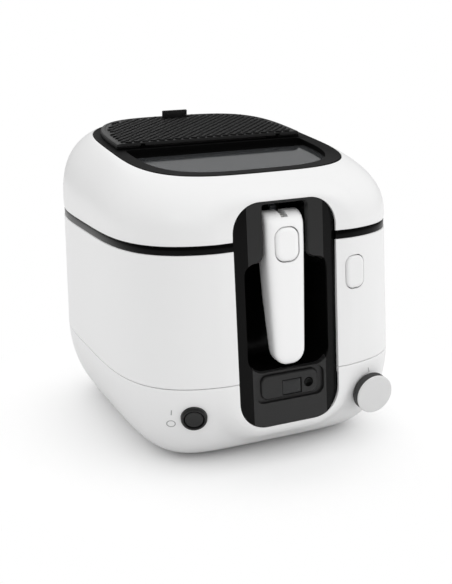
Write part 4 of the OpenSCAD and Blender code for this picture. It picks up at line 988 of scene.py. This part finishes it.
# handle
grip = dict(low=95.5, tipHalf=15.5, topHalf=19.0, hub=14.0, front=-169.7, frontTop=-163.6, back=-153.9,
            squareness=4.6, tip=15.5)


def ramp(z, start, length):
    return min(max((z - start) / length, 0), 1)


def gripSection(z):
    # half width, front and back of the handle at the height z, rounded at the tip and over the hub
    pz = pivot["z"]
    half = grip["tipHalf"] + (grip["topHalf"] - grip["tipHalf"]) * ramp(z, 111, 95) ** 0.9
    yFront = grip["front"] + (grip["frontTop"] - grip["front"]) * ramp(z, grip["low"], pz - grip["low"])
    yBack = grip["back"] + 12.0 * ramp(z, grip["low"], 60) + 7.0 * ramp(z, 155.5, 61.5)
    if z < grip["low"] + grip["tip"]:
        u = (grip["low"] + grip["tip"] - z) / grip["tip"]
        half = grip["tipHalf"] * max(1 - u ** 2.2, 0.0) ** (1 / 2.2)
        squeeze = max(1 - u ** 3.4, 0.0) ** (1 / 3.4)
        middle = (yFront + yBack) / 2
        yFront, yBack = middle + (yFront - middle) * squeeze, middle + (yBack - middle) * squeeze
    if z > pz:
        yBack = min(yBack, pivot["y"] + grip["hub"] * math.sqrt(1 - ramp(z, pz, grip["hub"]) ** 2))
        yFront += (pivot["y"] - 1.5 - yFront) * (1 - math.sqrt(1 - ramp(z, pz, 13.9) ** 2))
        half *= 1 - 0.1 * max((z - 226) / 8, 0) ** 3
    middle, depth = (yFront + yBack) / 2, max((yBack - yFront) / 2, 0.05)
    turns = [2 * math.pi * i / 64 for i in range(64)]
    return [(x, middle + y, z) for x, y in superellipse(max(half, 0.05), depth, grip["squareness"], turns)]


levels = [95.5, 95.7, 96.2, 97, 98, 99.5, 101.5, 104, 107, 111, 116, 124, 134, 146, 158, 170, 182, 194, 204,
          212, 218, 220, 222.5, 225, 227.5, 229.5, 231, 232.2, 233, 233.5, 233.8, 233.9]
handle = gridSkin("handle", closeEnds([gripSection(z) for z in levels]))
gripButton = dict(z=205.5, w=22.5, h=30.0, r=9.0)


def thumbLine(grow, growR):
    b = gripButton
    return shifted(roundedOutline(b["w"] + grow, b["h"] + grow, b["r"] + growR, 10), 0, b["z"])


y, z = pivot["y"], pivot["z"]
cutBy(handle, prism("cutter", thumbLine(2.0, 0.8), -180, y - 10.4),
      block("cutter", (-3.4, 3.4), (y - 12.35, y + 16), (z - 12.35, z + 17)),
      block("cutter", (-3.41, 3.41), (y - 13.6, y + 1), (z + 8.8, z + 17.1)),
      rodX("cutter", pivot["axleR"], -21, 21, y, z, 0, 40))
finishPiece(smoothShade(handle, 36), litHandleAbs, "handle", "white_plastic", "handle_grip")
thumb = pad("gripButton", thumbLine(0, 0),
            [(8.0, 0.1), (5.0, 0.0), (3.2, 0.15), (1.8, 0.5), (0.8, 1.1), (0.2, 2.0), (0, 3.0), (0, 7.4)],
            None, y - 17.5 - 2.2)
for vertex in thumb.data.vertices:
    # the cap leans back with the handle's face
    if vertex.co.y / mm + shiftY < y - 14:
        vertex.co.y += (vertex.co.z / mm - gripButton["z"]) * 0.05 * mm
finishPiece(smoothShade(thumb, 40), litHandleAbs, "grip_release", "white_plastic", "grip_button")
print("handle made")

# knob
capKnob = pad("knobCap", circleOutline(knob["r"], 96),
              [(3, 0), (0.9, 0.0), (0.3, 0.25), (0.0, 0.8), (0.0, 1.2), (0.25, 1.4)], knobPlace, -knob["h"])
finishPiece(smoothShade(capKnob, 40), knobAbs, "knob", "white_plastic", "knob_cap")
skirt = pad("knobSkirt", circleOutline(knob["r"] - 0.4, 96),
            [(0.4, 0), (0.0, 0.3), (-0.2, 6.8), (-0.2, 7.6), (0.1, 8.0)], knobPlace, 1.4 - knob["h"])
finishPiece(smoothShade(skirt, 40), greyAbs, "knob", "dark_grey_plastic", "knob_skirt")

# power button and its marks
powerPlace = onWall(button["x"], button["z"])
profile = ((11.8, 1.4), (11.8, -1.6), (11.3, -2.7), (10.4, -3.15), (9.6, -3.0), (9.0, -2.2), (8.75, -0.5),
           (8.75, 12), (9.75, 12), (9.75, 1.4), (11.8, 1.4))
ringRows = [[(x, depth, z) for x, z in aroundCircle(radius, 72)] for radius, depth in profile]
bezel = gridSkin("powerRing", ringRows, powerPlace)
finishPiece(smoothShade(bezel, 40), blackAbs, "base", "black_plastic", "power_ring")
cap = pad("powerButton", circleOutline(8.4, 64),
          [(7.5, 0.85), (5.5, 0.75), (3.5, 0.5), (1.8, 0.15), (0.9, 0.0), (0.25, 0.3), (0, 0.9), (0, 11.2)],
          powerPlace, -2.4)
stem = prism("stem", circleOutline(3.5, 32), 8, 14.4, powerPlace)
smoothShade(joinAll(cap, stem), 40)
finishPiece(cap, blackAbs, "power", "black_plastic", "power_button")


def markOnWall(name, points, width):
    # a thin printed line laid on the casing wall through the given points, closed if it returns
    rows = []
    closed = points[0] == points[-1]
    for i, (x, z) in enumerate(points):
        x0, z0 = points[i - 1] if i else (points[-2] if closed else points[0])
        x1, z1 = points[i + 1] if i + 1 < len(points) else (points[1] if closed else points[-1])
        length = math.hypot(x1 - x0, z1 - z0)
        nx, nz = -(z1 - z0) / length * width / 2, (x1 - x0) / length * width / 2
        rows.append([onWall(x + s * nx, z + s * nz) @ Vector((0, -out, 0))
                     for s, out in ((-1, -0.3), (-1, 0.08), (1, 0.08), (1, -0.3))])
    return gridSkin(name, rows if closed else closeEnds(rows))


marks = dict(width=0.8, o=(-107.9, 50.0, 3.1, 3.3), i=(-108.3, 59.3, 64.3), tick=(86.6, 71.2, 76.0))
ox, oz, rx, rz = marks["o"]
oval = [(ox + rx * x, oz + rz * z) for x, z in aroundCircle(1, 32)]
markO = markOnWall("markO", oval + oval[:1], marks["width"])
ix, i0, i1 = marks["i"]
markI = markOnWall("markI", [(ix, i0), (ix, (i0 + i1) / 2), (ix, i1)], marks["width"])
tx, t0, t1 = marks["tick"]
tick = markOnWall("knobTick", [(tx + 0.9, t0), (tx, (t0 + t1) / 2), (tx - 0.9, t1)], marks["width"])
joinAll(markO, markI, tick)
markO.name = "printedMarks"
finishPiece(smoothShade(markO, 40), markInk, "base", "white_plastic")
print("controls made")

# lid release
releasePlace = onWall(release["x"], release["z"])
releaseCap = pad("releaseButton", roundedOutline(release["w"], release["h"], 7.6, 10),
                 [(7.0, 0.2), (4.0, 0.05), (2.4, 0.1), (1.2, 0.45), (0.4, 1.2), (0, 2.2), (0, 10.6)],
                 releasePlace, -1.6)
finishPiece(smoothShade(releaseCap, 40), whiteAbs, "lid_release", "white_plastic", "release_button")

# bowl
stud = dict(at=52, r=2.0, h=26)


def bowlRing(off, z):
    return rectRing(bowl["w"] + 2 * off, bowl["d"] + 2 * off, bowl["r"] + off, z, bowl["y"])


def bowlMiddle(z):
    return [(0, bowl["y"], z)] * len(angles)


# how far each ring stands outside the bowl's inner wall, and its height over the floor or the rim
low, rimZ = bowl["floor"], c["rimZ"]
outerWall = ((-28.8, low), (-4.8, low), (-2.0, low + 0.9), (-0.2, low + 2.8), (1.2, low + 6.5), (1.2, 150.0))
flange = ((1.2, rimZ), (10.0, rimZ), (10.2, rimZ + 0.6), (9.6, rimZ + 1.2), (1.5, rimZ + 1.2),
          (0.4, rimZ + 0.9))
innerWall = ((0, rimZ - 0.2), (0, 150.0), (0, low + 7.2), (-1.3, low + 3.6), (-3.0, low + 1.9),
             (-5.4, low + 1.2),
             (-30, low + 1.2))
bowlRows = [bowlRing(off, z) for off, z in outerWall + flange + innerWall]
vessel = gridSkin("oilBowl", [bowlMiddle(low)] + bowlRows + [bowlMiddle(low + bowl["t"])])
smoothShade(vessel, 40)
studs = []
for turn in (90, 210, 330):
    t = math.radians(turn)
    place = Matrix.Translation((stud["at"] * math.cos(t), bowl["y"] + stud["at"] * math.sin(t), 0))
    profile = [(0.4, 0), (0, 0.4), (0, stud["h"] - 0.4), (0.4, stud["h"])]
    studs.append(smoothShade(pad("stud", circleOutline(stud["r"], 24), profile, place, low + 0.2, "z"), 40))
joinAll(vessel, *studs)
finishPiece(vessel, bowlCoating, "base", "bowl_aluminium", "oil_bowl")

# wire basket
basket = dict(w=190.0, d=200.0, r=41.0, z=96.0, h=104.0, wire=1.1, rimWire=1.9, around=88)


def basketRing(off, z, count):
    # evenly spaced points along the rounded rectangle
    w, d, rr = basket["w"] / 2 - off, basket["d"] / 2 - off, basket["r"] - min(off, 34)
    corners = [(w - rr, d - rr, 0), (rr - w, d - rr, 90), (rr - w, rr - d, 180), (w - rr, rr - d, 270)]
    dense = []
    for cx, cy, start in corners:
        for i in range(25):
            t = math.radians(start + 90 * i / 24)
            dense.append(Vector((cx + rr * math.cos(t), cy + rr * math.sin(t), 0)))
    dense.append(dense[0].copy())
    lengths = [0]
    for p, q in zip(dense, dense[1:]):
        lengths.append(lengths[-1] + (q - p).length)
    pts, k = [], 0
    for i in range(count):
        s = lengths[-1] * i / count
        while lengths[k + 1] < s:
            k += 1
        t = (s - lengths[k]) / max(lengths[k + 1] - lengths[k], 1e-9)
        p = dense[k].lerp(dense[k + 1], t)
        pts.append((p.x, p.y + bowl["y"], z))
    return pts


wallRows = [basketRing(off, basket["z"] + rise, basket["around"]) for off, rise in
            ((4.6, 1.1), (1.6, 3.2), *((0.8, 8 + 7.4 * i) for i in range(13)))]
basketSides = gridSkin("basketSides", wallRows)
deselectAll()
bpy.ops.mesh.primitive_grid_add(x_subdivisions=25, y_subdivisions=26, size=1)
floorMesh = bpy.context.object
floorMesh.name = "basketFloor"
w2, d2, rr = basket["w"] / 2 - 4.6, basket["d"] / 2 - 4.6, basket["r"] - 4.6
for vertex in floorMesh.data.vertices:
    x, y = Vector((vertex.co.x * 2 * w2, vertex.co.y * 2 * d2))
    if outside(abs(x) - w2, abs(y) - d2, rr) > 0:
        # the grid's corners are drawn in to the round corners
        cx, cy = math.copysign(w2 - rr, x), math.copysign(d2 - rr, y)
        x, y = Vector((cx, cy)) + Vector((x - cx, y - cy)).normalized() * rr
    put(vertex, (x, y + bowl["y"], basket["z"] + 1.1))
wires = joinAll(basketSides, floorMesh)
tidyMesh(wires, True, 0.6)
applyModifier(wires, "WIREFRAME", thickness=basket["wire"] * mm, use_even_offset=False, use_replace=True,
              use_boundary=True)
finishPiece(smoothShade(wires, 60), wirePlate, "basket", "wire", "basket_mesh")


def tubeAlong(name, path, radius, sides=10, closed=True):
    # a round wire swept along the given points
    count = len(path)
    rows = []
    vectors = [Vector(p) for p in path]
    for i, p in enumerate(vectors):
        before = vectors[i - 1] if (i or closed) else p
        after = vectors[(i + 1) % count] if (i + 1 < count or closed) else p
        along = (after - before).normalized()
        side = along.cross(Vector((0, 0, 1)))
        side = side.normalized() if side.length > 0.2 else along.cross(Vector((1, 0, 0))).normalized()
        over = side.cross(along).normalized()
        rows.append([p + side * u + over * v for u, v in aroundCircle(radius, sides)])
    return gridSkin(name, rows + rows[:1] if closed else closeEnds(rows))


rimLine = basketRing(basket["rimWire"], basket["z"] + basket["h"] - 2.1, 96)
basketRim = tubeAlong("basketRim", rimLine, basket["rimWire"])
finishPiece(smoothShade(basketRim, 60), wirePlate, "basket", "wire", "basket_rim")
# from the lift bar back over the rim and down the basket's front
strap = dict(x=7.5, top=215.343, crossY=-82.0, line=((-116.965, 0), (-100, 0), (-84.5, 0), (-82.2, -0.85),
                                                     (-81.6, -3.75), (-81.6, -9.343), (-81.6, -26.343)))
straps = []
for x in (-strap["x"], strap["x"]):
    line = [(x, y, strap["top"] + drop) for y, drop in strap["line"]]
    straps.append(smoothShade(tubeAlong("strap", line, 1.6, 12, False), 60))
line = [(x, strap["crossY"], strap["top"]) for x in (-strap["x"], 0, strap["x"])]
joinAll(*straps, smoothShade(tubeAlong("cross", line, 1.4, 12, False), 60))
straps[0].name = "basketStraps"
finishPiece(straps[0], wirePlate, "basket", "wire", "basket_straps")

# lid springs
coil = dict(turns=7, wire=1.5, r=4.25, length=9.6, starts=(-19.2, 9.6))
springs = []
for start in coil["starts"]:
    line = []
    for i in range(coil["turns"] * 18 + 1):
        t = math.radians(20 * i)
        line.append((start + coil["length"] * i / (coil["turns"] * 18), hinge["y"] + coil["r"] * math.sin(t),
                     hinge["z"] + coil["r"] * math.cos(t)))
    springs.append(smoothShade(tubeAlong("spring", line, coil["wire"] / 2, 8, False), 60))
joinAll(*springs)
springs[0].name = "lidSprings"
finishPiece(springs[0], springSteel, "base", "steel", "lid_springs")
print("basket and springs made")

# pieces kept from the solids, with their real finishes
finishes = {
    blackAbs: ("bottom_cover", "cord_inlet"), footRubber: ("rubber_feet",),
            heaterSheath: ("heating_element",),
    linerSheet: ("heat_shield", "lid_liner"), copperTube: ("sensor_bulb",),
    creamResin: ("thermal_fuse", "thermostat", "terminal_block"),
    greyAbs: ("power_switch", "latch_hook"), boardLacquer: ("timer_board",), sealRubber: ("lid_seal",),
    filterFoam: ("foam_filter",), charcoalFleece: ("charcoal_filter",),
    steelSheet: ("cover_screws", "shield_nuts", "console_screws", "timer_battery", "handle_axle",
                 "lever_axle",
                 "lid_hinge_pin", "liner_screws", "lid_striker", "lift_lever", "lift_bar", "knob_shaft"),
    gearAcetal: ("hub_gear",), wirePlate: ("basket_feet",)}
for material, nodes in finishes.items():
    for name in nodes:
        coverWith(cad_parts[name], material)
print("finishes set")

bpy.context.scene.view_settings.view_transform = "Standard"
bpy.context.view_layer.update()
